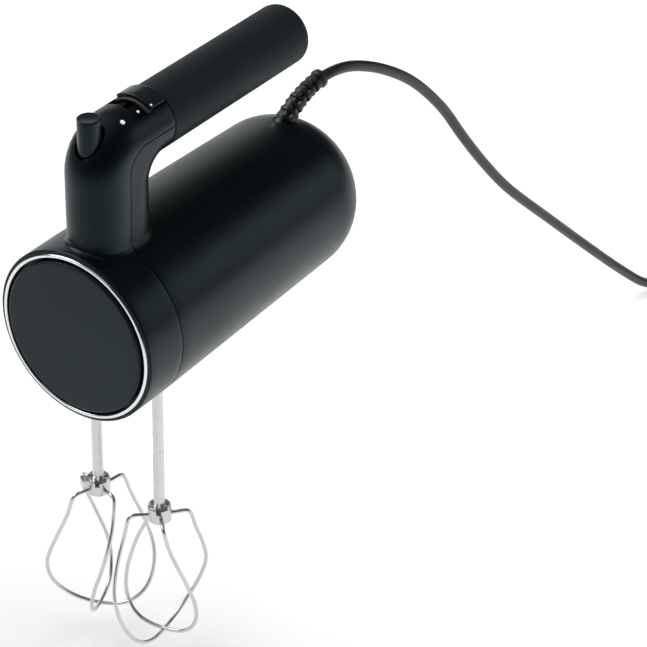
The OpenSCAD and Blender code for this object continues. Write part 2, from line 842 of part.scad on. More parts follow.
module beater_hub_left() {
    color("#cdd0d3") place() at_beater(-1) {
        beater_hub(-1, phase_left);
        rotate([0, 0, 235]) translate([5.9, -3, hub_low + hub_h - 5]) difference() {
            cube([3.8, 6, 5]);
            for (y = [1.7, 4.3]) translate([2.4, y, 2]) cylinder(r = 0.7, h = 4);
        }
    }
}

module beater_hub_right() {
    color("#cdd0d3") place() at_beater(1) beater_hub(1, phase_right);
}

module beater_wires(hand, phase) {
    color("#d5d8da") place() at_beater(hand) {
        beater_loop(outer_loop, phase, hand);
        beater_loop(inner_loop, phase + 90, hand);
    }
}

module beater_wires_left() {
    beater_wires(-1, phase_left);
}

module beater_wires_right() {
    beater_wires(1, phase_right);
}

front_housing();
main_shell();
chrome_ring();
front_disc();
grip_core();
grip_sleeve();
speed_slider();
slider_track();
speed_marks();
slider_mark();
speed_switch();
control_board();
suppressor_capacitor();
suppressor_choke();
eject_button();
eject_spring();
eject_rod();
eject_yoke();
ejector_pin_left();
ejector_pin_right();
spindle_left();
spindle_right();
worm_gear_left();
worm_gear_right();
gearbox_frame();
spindle_bushings();
gearbox_screws();
socket_collars();
armature_shaft();
worm();
front_bearing();
middle_bearing();
rear_bearing();
cooling_fan();
armature_core();
armature_windings();
commutator();
stator_core();
field_coils();
rear_bracket();
brush_holders();
carbon_brushes();
brush_springs();
motor_screws();
housing_screws();
cable_clamp();
supply_wires();
strain_relief();
power_cord();
cord_coil();
coil_tie();
plug_body();
plug_pins();
beater_shaft_left();
beater_shaft_right();
beater_hub_left();
beater_hub_right();
beater_wires_left();
beater_wires_right();
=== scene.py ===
"""Hand mixer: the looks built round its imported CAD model, as a set of operators with a sidebar panel."""

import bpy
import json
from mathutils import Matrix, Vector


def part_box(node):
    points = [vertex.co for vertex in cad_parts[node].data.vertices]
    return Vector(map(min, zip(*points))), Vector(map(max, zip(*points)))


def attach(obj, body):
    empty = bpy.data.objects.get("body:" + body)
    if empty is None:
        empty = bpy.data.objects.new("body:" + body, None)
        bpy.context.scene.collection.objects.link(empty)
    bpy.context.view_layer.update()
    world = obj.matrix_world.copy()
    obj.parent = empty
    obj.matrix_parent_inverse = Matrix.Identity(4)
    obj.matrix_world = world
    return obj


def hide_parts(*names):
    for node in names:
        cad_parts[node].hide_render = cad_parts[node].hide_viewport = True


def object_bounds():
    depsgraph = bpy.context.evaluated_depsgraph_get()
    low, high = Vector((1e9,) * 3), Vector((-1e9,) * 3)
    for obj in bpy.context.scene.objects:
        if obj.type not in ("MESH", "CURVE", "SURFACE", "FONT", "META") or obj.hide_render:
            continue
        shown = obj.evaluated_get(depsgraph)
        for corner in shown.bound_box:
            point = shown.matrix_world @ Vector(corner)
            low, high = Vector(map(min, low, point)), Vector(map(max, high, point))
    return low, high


bl_info = {
    "name": "Hand Mixer Builder",
    "version": (1, 0, 0),
    "blender": (4, 5, 0),
    "location": "View3D > Sidebar > Mixer",
    "description": "Builds the visible pieces of a hand mixer around its CAD frame",
    "category": "Object",
}

import json
import math

import bmesh
import bpy
import numpy as np
from mathutils import Matrix, Vector

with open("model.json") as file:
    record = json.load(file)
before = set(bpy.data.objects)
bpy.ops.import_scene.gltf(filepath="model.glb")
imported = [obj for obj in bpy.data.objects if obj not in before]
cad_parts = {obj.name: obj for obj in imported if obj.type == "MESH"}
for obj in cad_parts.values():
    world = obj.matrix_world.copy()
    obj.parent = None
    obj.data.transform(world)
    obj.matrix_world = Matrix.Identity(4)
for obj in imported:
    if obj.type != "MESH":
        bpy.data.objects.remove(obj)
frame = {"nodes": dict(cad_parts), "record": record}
cad_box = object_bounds()

MM = 0.001


def box_size(node):
    """Width, depth and height of a CAD node in metres."""
    low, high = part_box(node)
    return [high[i] - low[i] for i in range(3)]


# Body millimetres: y counts from the front rim's plane and z from the axis of the round body.
RING_LOW, RING_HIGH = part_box("chrome_ring")
SLEEVE_LOW, SLEEVE_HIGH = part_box("grip_sleeve")
BODY_ORIGIN = np.array([0.0, RING_LOW[1] + 0.5 * MM, (RING_LOW[2] + RING_HIGH[2]) / 2])
GRIP_RISE = -BODY_ORIGIN[2] / MM
COLLAR_Y = (SLEEVE_LOW[1] - BODY_ORIGIN[1]) / MM - 0.6
GRIP_END = (SLEEVE_HIGH[1] - BODY_ORIGIN[1]) / MM
BEATER_X = (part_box("spindle_right")[0][0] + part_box("spindle_right")[1][0]) / 2 / MM
BEATER_Y = ((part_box("spindle_right")[0][1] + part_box("spindle_right")[1][1]) / 2 - BODY_ORIGIN[1]) / MM
FLOOR_Z = cad_box[0][2]

# Outline of the handle in side view: the middle lines of its front and rear bends.
FRONT_LEN = 27.2
BEND_OUT = np.array([36.0, 87.8])
BEND_OUT_MID = 12.7
BEND_IN = np.array([59.8, 76.2])
BEND_IN_MID = 24.3
PILLAR_FRONT = 23.3
PILLAR_REAR = 35.5
SEAM_MID = np.array([41.2, 88.0])
SEAM_R = 14.0
SLOT_Y = 41.5
SLOT_HALF = math.radians(41)
WELL = np.array([0.0, 16.9])
WELL_R = 7.7
WALL = 2.4

# The cord's way from the strain relief to the coil and on to the plug: x, y, z in body millimetres.
CORD_ROUTE = np.array([
    (4.7, 213.8, 61.9), (7.6, 230, 62), (10.6, 248, 56), (14, 268, 45.6), (18, 291, 29), (22.5, 316, 2.8),
    (26, 334, -22.5), (30, 356, -51), (34.6, 382, -80.5), (42, 424, -120), (49, 466, -159), (56, 508, -197),
    (62, 537, -220.5), (67, 558, -225.6), (71, 575, -226.1), (76, 588, -226.1)])
TAIL_ROUTE = np.array([(144, 588, -219.7), (142.6, 577, -220.2), (142, 565, -222.3), (142, 550, -223.1)])
COIL_MID = np.array([112.0, 600.0])
COIL_R = 31.0
COIL_BOTTOM = -226.1

# Half of each wire loop of a beater, from the hub to the bottom: radius, height, twist.
OUTER_LOOP = np.array([
    (5.5, -130, 0), (9, -130, 0), (13, -129.6, 0), (16, -130.2, 0), (18, -133.5, 2), (20.5, -143, 6),
    (26, -159, 15), (29.6, -172, 22), (30.6, -183, 29), (28.5, -195, 36), (24, -204, 42), (17, -210.5, 46),
    (9, -213.8, 49), (0, -214.8, 50)])
INNER_LOOP = np.array([
    (5.5, -130, 0), (9, -130, 0), (12, -129.8, 0), (14.6, -131, 0), (16, -135, 3), (18, -144, 10),
    (22.5, -159, 24), (24.6, -172, 34), (25, -183, 42), (23.6, -194, 48), (19.8, -203, 51), (14, -208.6, 53),
    (7, -211, 54), (0, -211.6, 54)])
PHASES = {-1: 74.0, 1: 46.0}
HUB_LOW = -134.0
SHAFT_TOP = -16.6


# ---------------------------------------------------------------- settings

class MixerSizes(bpy.types.PropertyGroup):
    """Sizes that the visible pieces are worked out from."""
    body_front_radius: bpy.props.FloatProperty(
        name="Front radius", description="Radius of the round body at its front",
        default=box_size("front_housing")[0] / 2, unit="LENGTH")
    body_rear_radius: bpy.props.FloatProperty(
        name="Rear radius", description="Radius of the round body where the dome starts",
        default=0.0462, unit="LENGTH")
    dome_radius: bpy.props.FloatProperty(
        name="Dome radius", description="Rounding of the rear end", default=0.038, unit="LENGTH")
    grip_radius: bpy.props.FloatProperty(
        name="Grip radius", description="Radius of the grip and of the stem's rounding",
        default=box_size("grip_sleeve")[0] / 2, unit="LENGTH")
    disc_radius: bpy.props.FloatProperty(
        name="Disc radius", description="Radius of the flat front disc",
        default=box_size("front_disc")[0] / 2, unit="LENGTH")
    foot_radius: bpy.props.FloatProperty(
        name="Foot fillet", description="Fillet between the stem and the round body",
        default=0.0026, unit="LENGTH")
    seam_gap: bpy.props.FloatProperty(
        name="Seam gap", description="Gap between the front and the main moulding", default=0.0004, unit="LENGTH")
    wire_radius: bpy.props.FloatProperty(
        name="Wire radius", description="Radius of the beater wires", default=0.0011, unit="LENGTH")
    cord_diameter: bpy.props.FloatProperty(
        name="Cord", description="Diameter of the power cord", default=0.0064, unit="LENGTH")


class MixerColours(bpy.types.PropertyGroup):
    """Base colours of the finishes."""
    shell: bpy.props.FloatVectorProperty(
        name="Shell", description="Satin black mouldings", subtype="COLOR", default=(0.0009, 0.0024, 0.0028))
    grip: bpy.props.FloatVectorProperty(
        name="Grip", description="Soft-touch sleeve", subtype="COLOR", default=(0.0060, 0.0072, 0.0080))
    disc: bpy.props.FloatVectorProperty(
        name="Disc", description="Flat front disc", subtype="COLOR", default=(0.0065, 0.0100, 0.0120))
    controls: bpy.props.FloatVectorProperty(
        name="Controls", description="Slider and button", subtype="COLOR", default=(0.0060, 0.0085, 0.0095))
    print_white: bpy.props.FloatVectorProperty(
        name="Print", description="Printed dots", subtype="COLOR", default=(0.82, 0.82, 0.80))
    steel: bpy.props.FloatVectorProperty(
        name="Steel", description="Stainless steel of the beaters", subtype="COLOR", default=(0.64, 0.645, 0.64))
    cord: bpy.props.FloatVectorProperty(
        name="Cord", description="Cord, strain relief and plug", subtype="COLOR", default=(0.0045, 0.0062, 0.0068))
    floor: bpy.props.FloatVectorProperty(
        name="Floor", description="Plain pale floor", subtype="COLOR", default=(0.90, 0.90, 0.90))


def sizes():
    """The sizes in millimetres, by name."""
    group = bpy.context.scene.mixer_sizes
    return {name: getattr(group, name) / MM for name in MixerSizes.__annotations__}


def colour(name):
    return tuple(getattr(bpy.context.scene.mixer_colours, name))


# ---------------------------------------------------------------- surfaces

def unit(v):
    """Vectors scaled to length one."""
    return v / np.maximum(np.linalg.norm(v, axis=-1, keepdims=True), 1e-12)


def rounded(corners, steps=5):
    """Profile through corners (a, b, radius): a corner with a radius becomes the arc that touches both its sides."""
    points = np.array([corner[:2] for corner in corners], float)
    out = [points[:1]]
    for before, here, after, radius in zip(points, points[1:], points[2:], [c[2] for c in corners[1:-1]]):
        if radius == 0:
            out.append(here[None])
            continue
        back, ahead = unit(before - here), unit(after - here)
        half = math.acos(np.clip(back @ ahead, -1, 1)) / 2
        centre = here + unit(back + ahead) * radius / math.sin(half)
        first = here + back * radius / math.tan(half) - centre
        last = here + ahead * radius / math.tan(half) - centre
        turn, t = math.pi - 2 * half, np.linspace(0, 1, steps + 1)[:, None]
        out.append(centre + (np.sin((1 - t) * turn) * first + np.sin(t * turn) * last) / math.sin(turn))
    return np.vstack(out + [points[-1:]])


def spaced(profile, step):
    """The same profile with more points, none further apart than step."""
    length = np.linalg.norm(np.diff(profile, axis=0), axis=1)
    counts = np.maximum(np.ceil(length / step).astype(int), 1)
    parts = [a + (b - a) * np.arange(n)[:, None] / n for a, b, n in zip(profile, profile[1:], counts)]
    return np.vstack(parts + [profile[-1:]])


def turned(profile, steps=128, lift=0.0):
    """Profile (radius r, y) turned about an axis along Y: (r sin a, y, lift + r cos a)."""
    a = 2 * np.pi * np.arange(steps) / steps
    r, y = profile[:, :1], profile[:, 1:]
    return np.stack([r * np.sin(a), y + 0 * a, lift + r * np.cos(a)], axis=-1)


def turned_upright(profile, at=(0.0, 0.0), steps=96):
    """Profile (radius r, z) turned about an upright axis at (x, y): (x + r cos a, y + r sin a, z)."""
    a = 2 * np.pi * np.arange(steps) / steps
    r, z = profile[:, :1], profile[:, 1:]
    return np.stack([at[0] + r * np.cos(a), at[1] + r * np.sin(a), z + 0 * a], axis=-1)


def smooth(points, t):
    """Catmull-Rom curve through the points, at places t counted along them."""
    i = np.clip(np.floor(t).astype(int), 0, len(points) - 2)
    u = (t - i)[:, None]
    padded = np.vstack([2 * points[0] - points[1], points, 2 * points[-1] - points[-2]])
    a, b, c, d = (padded[i + k] for k in range(4))
    return 0.5 * (2 * b + (c - a) * u + (2 * a - 5 * b + 4 * c - d) * u ** 2 + (3 * b - 3 * c + d - a) * u ** 3)


def evenly(path, step):
    """The same path with points about step apart along it."""
    run = np.concatenate([[0], np.cumsum(np.linalg.norm(np.diff(path, axis=0), axis=1))])
    at = np.linspace(0, run[-1], max(int(run[-1] / step), 2))
    return np.stack([np.interp(at, run, path[:, k]) for k in range(path.shape[1])], axis=-1)


def swept(path, radius, side, sides=12):
    """Circle of a radius carried along a path: p + r (u cos a + v sin a), where u is the side vector made square
    to the path's direction t, and v = t x u. Both ends close to a point."""
    path = np.asarray(path, float)
    radius = np.broadcast_to(radius, len(path))
    t = unit(np.gradient(path, axis=0))
    side = np.broadcast_to(side, path.shape)
    u = unit(side - t * (side * t).sum(axis=1, keepdims=True))
    v = np.cross(t, u)
    a = 2 * np.pi * np.arange(sides) / sides
    ring = u[:, None] * np.cos(a)[:, None] + v[:, None] * np.sin(a)[:, None]
    tube = path[:, None] + radius[:, None, None] * ring
    ends = [np.repeat(path[k:k + 1, None], sides, axis=1) for k in (0, -1)]
    return np.concatenate([ends[0], tube, ends[1]])


def round_corners(width, depth, radius, steps=6, span=2.0):
    """Rectangle with round corners, as points and outward directions, straight runs split every span."""
    quarter = np.linspace(0, np.pi / 2, steps + 1)
    points, normals = [], []
    for k, (sx, sy) in enumerate([(1, 1), (-1, 1), (-1, -1), (1, -1)]):
        a = quarter + k * np.pi / 2
        way = np.stack([np.cos(a), np.sin(a)], axis=-1)
        points.append(np.array([sx * (width / 2 - radius), sy * (depth / 2 - radius)]) + radius * way)
        normals.append(way)
    points, normals = np.vstack(points + [points[0][:1]]), np.vstack(normals + [normals[0][:1]])
    both = np.hstack([points, normals])
    out = spaced(both, span)[:-1]
    return out[:, :2], unit(out[:, 2:])


def pillow(outline, normals, low, high, edge, steps=4, rings=5):
    """Closed block over an outline: the sides run from low to high, both rims are rounded by edge, and each face
    is the outline drawn in towards its middle. Gives (x, y, height) points."""
    a = np.linspace(0, np.pi / 2, steps + 1)
    inset = np.concatenate([edge * (1 - np.sin(a)), edge * (1 - np.cos(a))])
    height = np.concatenate([low + edge * (1 - np.cos(a)), high - edge * (1 - np.sin(a))])
    wall = outline - inset[:, None, None] * normals
    shrink = np.linspace(0, 1, rings + 1)[:, None, None]
    middle = outline.mean(axis=0)
    bottom, top = middle + shrink[:-1] * (wall[0] - middle), middle + shrink[::-1][1:] * (wall[-1] - middle)
    flat = np.concatenate([bottom, wall, top])
    z = np.concatenate([np.full(rings, low), height, np.full(rings, high)])
    return np.concatenate([flat, np.broadcast_to(z[:, None, None], flat.shape[:2] + (1,))], axis=-1)


class Shape:
    """Points and faces gathered from several grids."""

    def __init__(self):
        self.points, self.faces, self.count = [], [], 0

    def add(self, grid, round_v=True, round_u=False, keep=None, flip=False):
        """Adds a grid of points (u, v, 3) as quads. round_v and round_u join the last line to the first."""
        rows, columns = grid.shape[:2]
        index = np.arange(rows * columns).reshape(rows, columns)
        if round_v:
            index = np.hstack([index, index[:, :1]])
        if round_u:
            index = np.vstack([index, index[:1]])
        quads = np.stack([index[:-1, :-1], index[1:, :-1], index[1:, 1:], index[:-1, 1:]], axis=-1)
        quads = quads[keep] if keep is not None else quads.reshape(-1, 4)
        self.points.append(grid.reshape(-1, 3))
        self.faces.append((quads[:, ::-1] if flip else quads) + self.count)
        self.count += rows * columns
        return self

    def mirrored(self):
        """The same shape on both sides of the middle plane."""
        points, faces = np.vstack(self.points), np.vstack(self.faces)
        self.points, self.faces = [points, points * (-1, 1, 1)], [faces, faces[:, ::-1] + self.count]
        self.count *= 2
        return self


def place(points):
    """Body millimetres to metres in the row's frame."""
    return np.asarray(points, float) * MM + BODY_ORIGIN


def polish(mesh, angle=32):
    """Smooth shading with sharp edges where faces meet at more than the angle."""
    mesh.polygons.foreach_set("use_smooth", np.ones(len(mesh.polygons), bool))
    mesh.set_sharp_from_angle(angle=math.radians(angle))
    mesh.update()


def build(name, shape, outward=True, angle=32):
    """Makes a shape an object: its points are placed, doubles are merged and faces point outwards."""
    points, faces = place(np.vstack(shape.points)), np.vstack(shape.faces)
    mesh = bpy.data.meshes.new(name)
    mesh.vertices.add(len(points))
    mesh.vertices.foreach_set("co", points.ravel())
    mesh.loops.add(faces.size)
    mesh.loops.foreach_set("vertex_index", faces.ravel())
    mesh.polygons.add(len(faces))
    mesh.polygons.foreach_set("loop_start", np.arange(0, faces.size, 4))
    mesh.update(calc_edges=True)
    merged = bmesh.new()
    merged.from_mesh(mesh)
    bmesh.ops.remove_doubles(merged, verts=merged.verts, dist=2e-6)
    bmesh.ops.dissolve_degenerate(merged, edges=merged.edges, dist=1e-6)
    if outward:
        bmesh.ops.recalc_face_normals(merged, faces=merged.faces)
    merged.to_mesh(mesh)
    merged.free()
    polish(mesh, angle)
    piece = bpy.data.objects.new(name, mesh)
    bpy.context.scene.collection.objects.link(piece)
    return piece


def settle(piece, angle=32):
    """Applies the piece's modifiers to its mesh."""
    bpy.context.view_layer.update()
    done = piece.evaluated_get(bpy.context.evaluated_depsgraph_get())
    mesh = bpy.data.meshes.new_from_object(done)
    piece.modifiers.clear()
    piece.data = mesh
    polish(mesh, angle)


def wall(piece, thickness):
    """Gives an open surface a wall on its inner side."""
    solid = piece.modifiers.new("Wall", "SOLIDIFY")
    solid.thickness = thickness * MM
    solid.offset = -1
    solid.use_even_offset = True
    settle(piece)


def cut(piece, shape):
    """Takes a closed shape out of a piece."""
    tool = build("cutter", shape)
    hole = piece.modifiers.new("Cut", "BOOLEAN")
    hole.operation = "DIFFERENCE"
    hole.solver = "EXACT"
    hole.object = tool
    settle(piece)
    bpy.data.objects.remove(tool)


def soften(piece, width, angle=40):
    """Rounds the sharp edges of a piece."""
    rim = piece.modifiers.new("Edges", "BEVEL")
    rim.width = width * MM
    rim.segments = 2
    rim.limit_method = "ANGLE"
    rim.angle_limit = math.radians(angle)
    rim.use_clamp_overlap = True
    settle(piece)


def join(name, *pieces):
    """Makes several objects one mesh."""
    merged = bmesh.new()
    for piece in pieces:
        merged.from_mesh(piece.data)
        bpy.data.objects.remove(piece)
    mesh = bpy.data.meshes.new(name)
    merged.to_mesh(mesh)
    merged.free()
    polish(mesh)
    piece = bpy.data.objects.new(name, mesh)
    bpy.context.scene.collection.objects.link(piece)
    return piece


def fit(piece, material, body, slot, *nodes):
    """Gives a finished piece its material and the body it rides on, and hides the CAD nodes it stands for."""
    piece.data.materials.clear()
    piece.data.materials.append(material)
    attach(piece, body)
    if nodes:
        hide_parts(*nodes)
    return piece


# ---------------------------------------------------------------- materials

def group(name, inputs, outputs):
    """A shader node group with number inputs (name, default) and number or colour outputs (name, kind)."""
    tree = bpy.data.node_groups.new(name, "ShaderNodeTree")
    for label, default in inputs:
        kind = "NodeSocketFloat" if isinstance(default, (int, float)) else "NodeSocketVector"
        tree.interface.new_socket(label, in_out="INPUT", socket_type=kind).default_value = default
    for label in outputs:
        tree.interface.new_socket(label, in_out="OUTPUT", socket_type="NodeSocketFloat")
    return tree, tree.nodes.new("NodeGroupInput"), tree.nodes.new("NodeGroupOutput")


def mapped(tree, given, socket):
    """Object coordinates multiplied by a vector input of the group."""
    where = tree.nodes.new("ShaderNodeTexCoord")
    scale = tree.nodes.new("ShaderNodeMapping")
    tree.links.new(where.outputs["Object"], scale.inputs["Vector"])
    tree.links.new(given.outputs[socket], scale.inputs["Scale"])
    return scale.outputs["Vector"]


def noise(tree, vector, scale, detail=3.0, rough=0.5):
    node = tree.nodes.new("ShaderNodeTexNoise")
    node.inputs["Scale"].default_value = scale
    node.inputs["Detail"].default_value = detail
    node.inputs["Roughness"].default_value = rough
    tree.links.new(vector, node.inputs["Vector"])
    return node.outputs["Fac"]


def maths(tree, what, a, b=0.5):
    node = tree.nodes.new("ShaderNodeMath")
    node.operation = what
    for socket, value in zip(node.inputs, (a, b)):
        if isinstance(value, (int, float)):
            socket.default_value = value
        else:
            tree.links.new(value, socket)
    return node.outputs[0]


def moulded_grain():
    """Fine spark-eroded grain of a moulded surface, with slow cloudy patches: height, patch and speck."""
    tree, given, out = group("Moulded grain", [("Scale", (1.0, 1.0, 1.0))], ["Height", "Patch", "Speck"])
    where = mapped(tree, given, "Scale")
    fine = noise(tree, where, 1500, 2, 0.6)
    cells = tree.nodes.new("ShaderNodeTexVoronoi")
    cells.inputs["Scale"].default_value = 1100
    tree.links.new(where, cells.inputs["Vector"])
    patch = noise(tree, where, 28, 4, 0.55)
    speck = noise(tree, where, 420, 5, 0.7)
    tree.links.new(maths(tree, "ADD", fine, cells.outputs["Distance"]), out.inputs["Height"])
    tree.links.new(patch, out.inputs["Patch"])
    tree.links.new(speck, out.inputs["Speck"])
    return tree


def drawn_lines():
    """Lines left by turning, drawing or stacking, close together across the stretched axis: line and patch."""
    tree, given, out = group("Drawn lines", [("Scale", (1.0, 1.0, 1.0))], ["Line", "Patch"])
    where = mapped(tree, given, "Scale")
    tree.links.new(noise(tree, where, 900, 3, 0.7), out.inputs["Line"])
    tree.links.new(noise(tree, where, 40, 3, 0.5), out.inputs["Patch"])
    return tree


def layers():
    """Even layers or turns at a pitch along one axis: a rounded height from 0 to 1 and a slow patch."""
    tree, given, out = group("Layers", [("Scale", (1.0, 1.0, 1.0))], ["Height", "Patch"])
    where = mapped(tree, given, "Scale")
    parts = tree.nodes.new("ShaderNodeSeparateXYZ")
    tree.links.new(where, parts.inputs["Vector"])
    total = maths(tree, "ADD", maths(tree, "ADD", parts.outputs["X"], parts.outputs["Y"]), parts.outputs["Z"])
    tree.links.new(maths(tree, "PINGPONG", total, 0.5), out.inputs["Height"])
    tree.links.new(noise(tree, where, 0.6, 3, 0.5), out.inputs["Patch"])
    return tree


GROUPS = {"grain": moulded_grain, "lines": drawn_lines, "layers": layers}


def shared(kind):
    """The shared effect group of that kind, made once."""
    maker = GROUPS[kind]
    name = {"grain": "Moulded grain", "lines": "Drawn lines", "layers": "Layers"}[kind]
    return bpy.data.node_groups.get(name) or maker()


def shade(name, base, rough, kind="grain", scale=(1, 1, 1), tone=0.2, spread=0.08, bump=0.1, depth=0.02,
          **constants):
    """Principled material. The group's patch and speck vary the base colour by tone and the roughness by spread,
    and its height makes the bump. Everything else stays a constant on the shader."""
    found = bpy.data.materials.get(name)
    if found:
        return found
    material = bpy.data.materials.new(name)
    material.use_nodes = True
    tree = material.node_tree
    shader = tree.nodes["Principled BSDF"]
    effect = tree.nodes.new("ShaderNodeGroup")
    effect.node_tree = shared(kind)
    effect.inputs["Scale"].default_value = scale
    height = effect.outputs[{"grain": "Height", "lines": "Line", "layers": "Height"}[kind]]
    vary = effect.outputs[{"grain": "Speck", "lines": "Line", "layers": "Height"}[kind]]
    mix = tree.nodes.new("ShaderNodeMix")
    mix.data_type = "RGBA"
    mix.inputs[6].default_value = tuple(max(c * (1 - tone), 0) for c in base) + (1,)
    mix.inputs[7].default_value = tuple(min(c * (1 + tone), 1) for c in base) + (1,)
    tree.links.new(maths(tree, "MULTIPLY", maths(tree, "ADD", vary, effect.outputs["Patch"]), 0.5), mix.inputs[0])
    tree.links.new(mix.outputs[2], shader.inputs["Base Color"])
    fade = tree.nodes.new("ShaderNodeMapRange")
    fade.inputs["From Min"].default_value = 0.3
    fade.inputs["From Max"].default_value = 0.7
    fade.inputs["To Min"].default_value = max(rough - spread, 0.02)
    fade.inputs["To Max"].default_value = min(rough + spread, 1)
    tree.links.new(effect.outputs["Patch"], fade.inputs["Value"])
    tree.links.new(fade.outputs["Result"], shader.inputs["Roughness"])
    relief = tree.nodes.new("ShaderNodeBump")
    relief.inputs["Strength"].default_value = bump
    relief.inputs["Distance"].default_value = depth * MM
    tree.links.new(height, relief.inputs["Height"])
    tree.links.new(relief.outputs["Normal"], shader.inputs["Normal"])
    for socket, value in constants.items():
        shader.inputs[socket.replace("_", " ").title().replace("Ior", "IOR")].default_value = value
    return material


COOL = (0.60, 0.92, 1.0, 1.0)


def shell_plastic():
    return shade("Satin black plastic", colour("shell"), 0.34, tone=0.22, spread=0.04, bump=0.12, depth=0.012,
                 specular_tint=COOL, specular_ior_level=0.27)


def grip_rubber():
    return shade("Soft-touch grip", colour("grip"), 0.62, tone=0.3, spread=0.05, bump=0.3, depth=0.02,
                 specular_tint=COOL, specular_ior_level=0.27)


def disc_plastic():
    return shade("Charcoal satin disc", colour("disc"), 0.42, tone=0.16, spread=0.04, bump=0.12, depth=0.01,
                 specular_tint=COOL, specular_ior_level=0.27)


def bright_chrome():
    return shade("Bright chrome", (0.80, 0.81, 0.82), 0.07, "lines", (0.3, 6, 0.3), 0.05, 0.03, 0.03, 0.004,
                 metallic=1.0)


def control_plastic():
    return shade("Grey control plastic", colour("controls"), 0.24, tone=0.18, spread=0.04, bump=0.1, depth=0.01,
                 specular_tint=COOL, specular_ior_level=0.27)


# Near-black, rough finish with weak reflection for the slider's rail: painted shade that keeps the slot under the
# slider dark.
def recess_painted_shade():
    return shade("Matt black recess", (0.0012, 0.0014, 0.0016), 0.8, tone=0.3, spread=0.08, bump=0.25, depth=0.02,
                 specular_ior_level=0.1)


def lip_plastic():
    return shade("Mauve grey lip", (0.048, 0.039, 0.050), 0.4, tone=0.15, spread=0.05, bump=0.1, depth=0.01,
                 specular_ior_level=0.4)


def white_print():
    return shade("White print", colour("print_white"), 0.5, tone=0.06, spread=0.05, bump=0.1, depth=0.004)


def beater_steel():
    return shade("Polished steel wire", colour("steel"), 0.24, "lines", (1, 1, 0.12), 0.06, 0.05, 0.06, 0.004,
                 metallic=0.93)


def turned_steel():
    return shade("Turned steel", colour("steel"), 0.26, "lines", (0.1, 0.1, 2.2), 0.08, 0.06, 0.10, 0.006,
                 metallic=0.93)


def cord_rubber():
    return shade("Cord jacket", colour("cord"), 0.40, tone=0.2, spread=0.06, bump=0.15, depth=0.015)


def relief_rubber():
    return shade("Moulded rubber", colour("cord"), 0.46, tone=0.25, spread=0.06, bump=0.2, depth=0.015)


def inner_materials():
    """Finish of each of the record's slots, for the pieces that stay as they were packed."""
    return {
        "black_shell": shell_plastic(), "grip_black": grip_rubber(), "disc_grey": disc_plastic(),
        "ring_chrome": bright_chrome(), "slider_grey": control_plastic(), "print_white": white_print(),
        "cord_black": relief_rubber(), "beater_steel": beater_steel(),
        "inner_plastic": shade("Natural nylon", (0.62, 0.58, 0.48), 0.45, tone=0.08, bump=0.15,
                               subsurface_weight=0.05),
        "switch_plastic": shade("Switch phenolic", (0.055, 0.022, 0.014), 0.4, tone=0.3, bump=0.15),
        "board_green": shade("Board lacquer", (0.014, 0.10, 0.045), 0.3, "lines", (1, 0.12, 1), 0.3, bump=0.2),
        "frame_steel": shade("Zinc plated steel", (0.60, 0.61, 0.60), 0.34, "grain", (0.6,) * 3, 0.1, 0.1,
                             metallic=1.0),
        "shaft_steel": shade("Ground shaft steel", (0.66, 0.66, 0.65), 0.22, "lines", (0.15, 2, 0.15), 0.08,
                             metallic=1.0),
        "laminations": shade("Stacked laminations", (0.22, 0.22, 0.23), 0.45, "layers", (0, 2000, 0), 0.35, 0.08,
                             0.5, 0.1, metallic=0.8),
        "copper": shade("Enamelled copper", (0.62, 0.22, 0.08), 0.3, "layers", (0, 1800, 0), 0.3, 0.08, 0.5, 0.1,
                        metallic=0.85, coat_weight=0.4),
        "bronze": shade("Sintered bronze", (0.48, 0.30, 0.13), 0.42, "grain", (0.7,) * 3, 0.2, metallic=1.0),
        "brass_parts": shade("Stamped brass", (0.66, 0.48, 0.20), 0.28, "lines", (1, 0.2, 1), 0.1, metallic=1.0),
        "carbon": shade("Graphite carbon", (0.035, 0.035, 0.037), 0.55, "grain", (0.8,) * 3, 0.3, metallic=0.2),
        "wire_brown": shade("Brown wire jacket", (0.10, 0.035, 0.016), 0.4, tone=0.2),
        "pin_metal": shade("Nickel plated pin", (0.70, 0.68, 0.62), 0.16, "lines", (1, 0.1, 1), 0.06,
                           metallic=1.0)}


# ---------------------------------------------------------------- the handle's surface

def outside(points):
    """Distance of side-view points (y, z) beyond the outer side of the handle's core."""
    y, z = points[..., 0], points[..., 1]
    bend = np.hypot(y - BEND_OUT[0], z - BEND_OUT[1]) - BEND_OUT_MID
    return np.where(z <= BEND_OUT[1], PILLAR_FRONT - y, np.where(y < BEND_OUT[0], bend, z - GRIP_RISE))


def inside(points):
    """Distance of side-view points (y, z) beyond the inner side of the core, under the arch."""
    y, z = points[..., 0], points[..., 1]
    bend = BEND_IN_MID - np.hypot(y - BEND_IN[0], z - BEND_IN[1])
    return np.where(z <= BEND_IN[1], y - PILLAR_REAR, np.where(y < BEND_IN[0], bend, GRIP_RISE - z))


def half_width(points, radius):
    """x of the surface over side-view points: sqrt(R^2 - d^2), where d is the distance outside the core."""
    d = np.maximum(np.maximum(outside(points), inside(points)), 0)
    return np.sqrt(np.maximum(radius ** 2 - d ** 2, 0))


def reach(start, way, depth, goal):
    """How far each start goes along its way until depth equals goal, by halving the interval 50 times."""
    low, high = np.zeros(goal.shape), np.full(goal.shape, 70.0)
    for _ in range(50):
        middle = (low + high) / 2
        short = depth(start + middle[..., None] * way) < goal
        low, high = np.where(short, middle, low), np.where(short, high, middle)
    return (low + high) / 2


SLOT_PLACE = (math.pi / 2 - SLOT_HALF - math.asin(1.5 / 17.3)) / (math.pi / 2 - math.asin(1.5 / 17.3))
SHARES = np.concatenate([np.linspace(0, SLOT_PLACE, 15), np.linspace(SLOT_PLACE, 1, 15)[1:]])


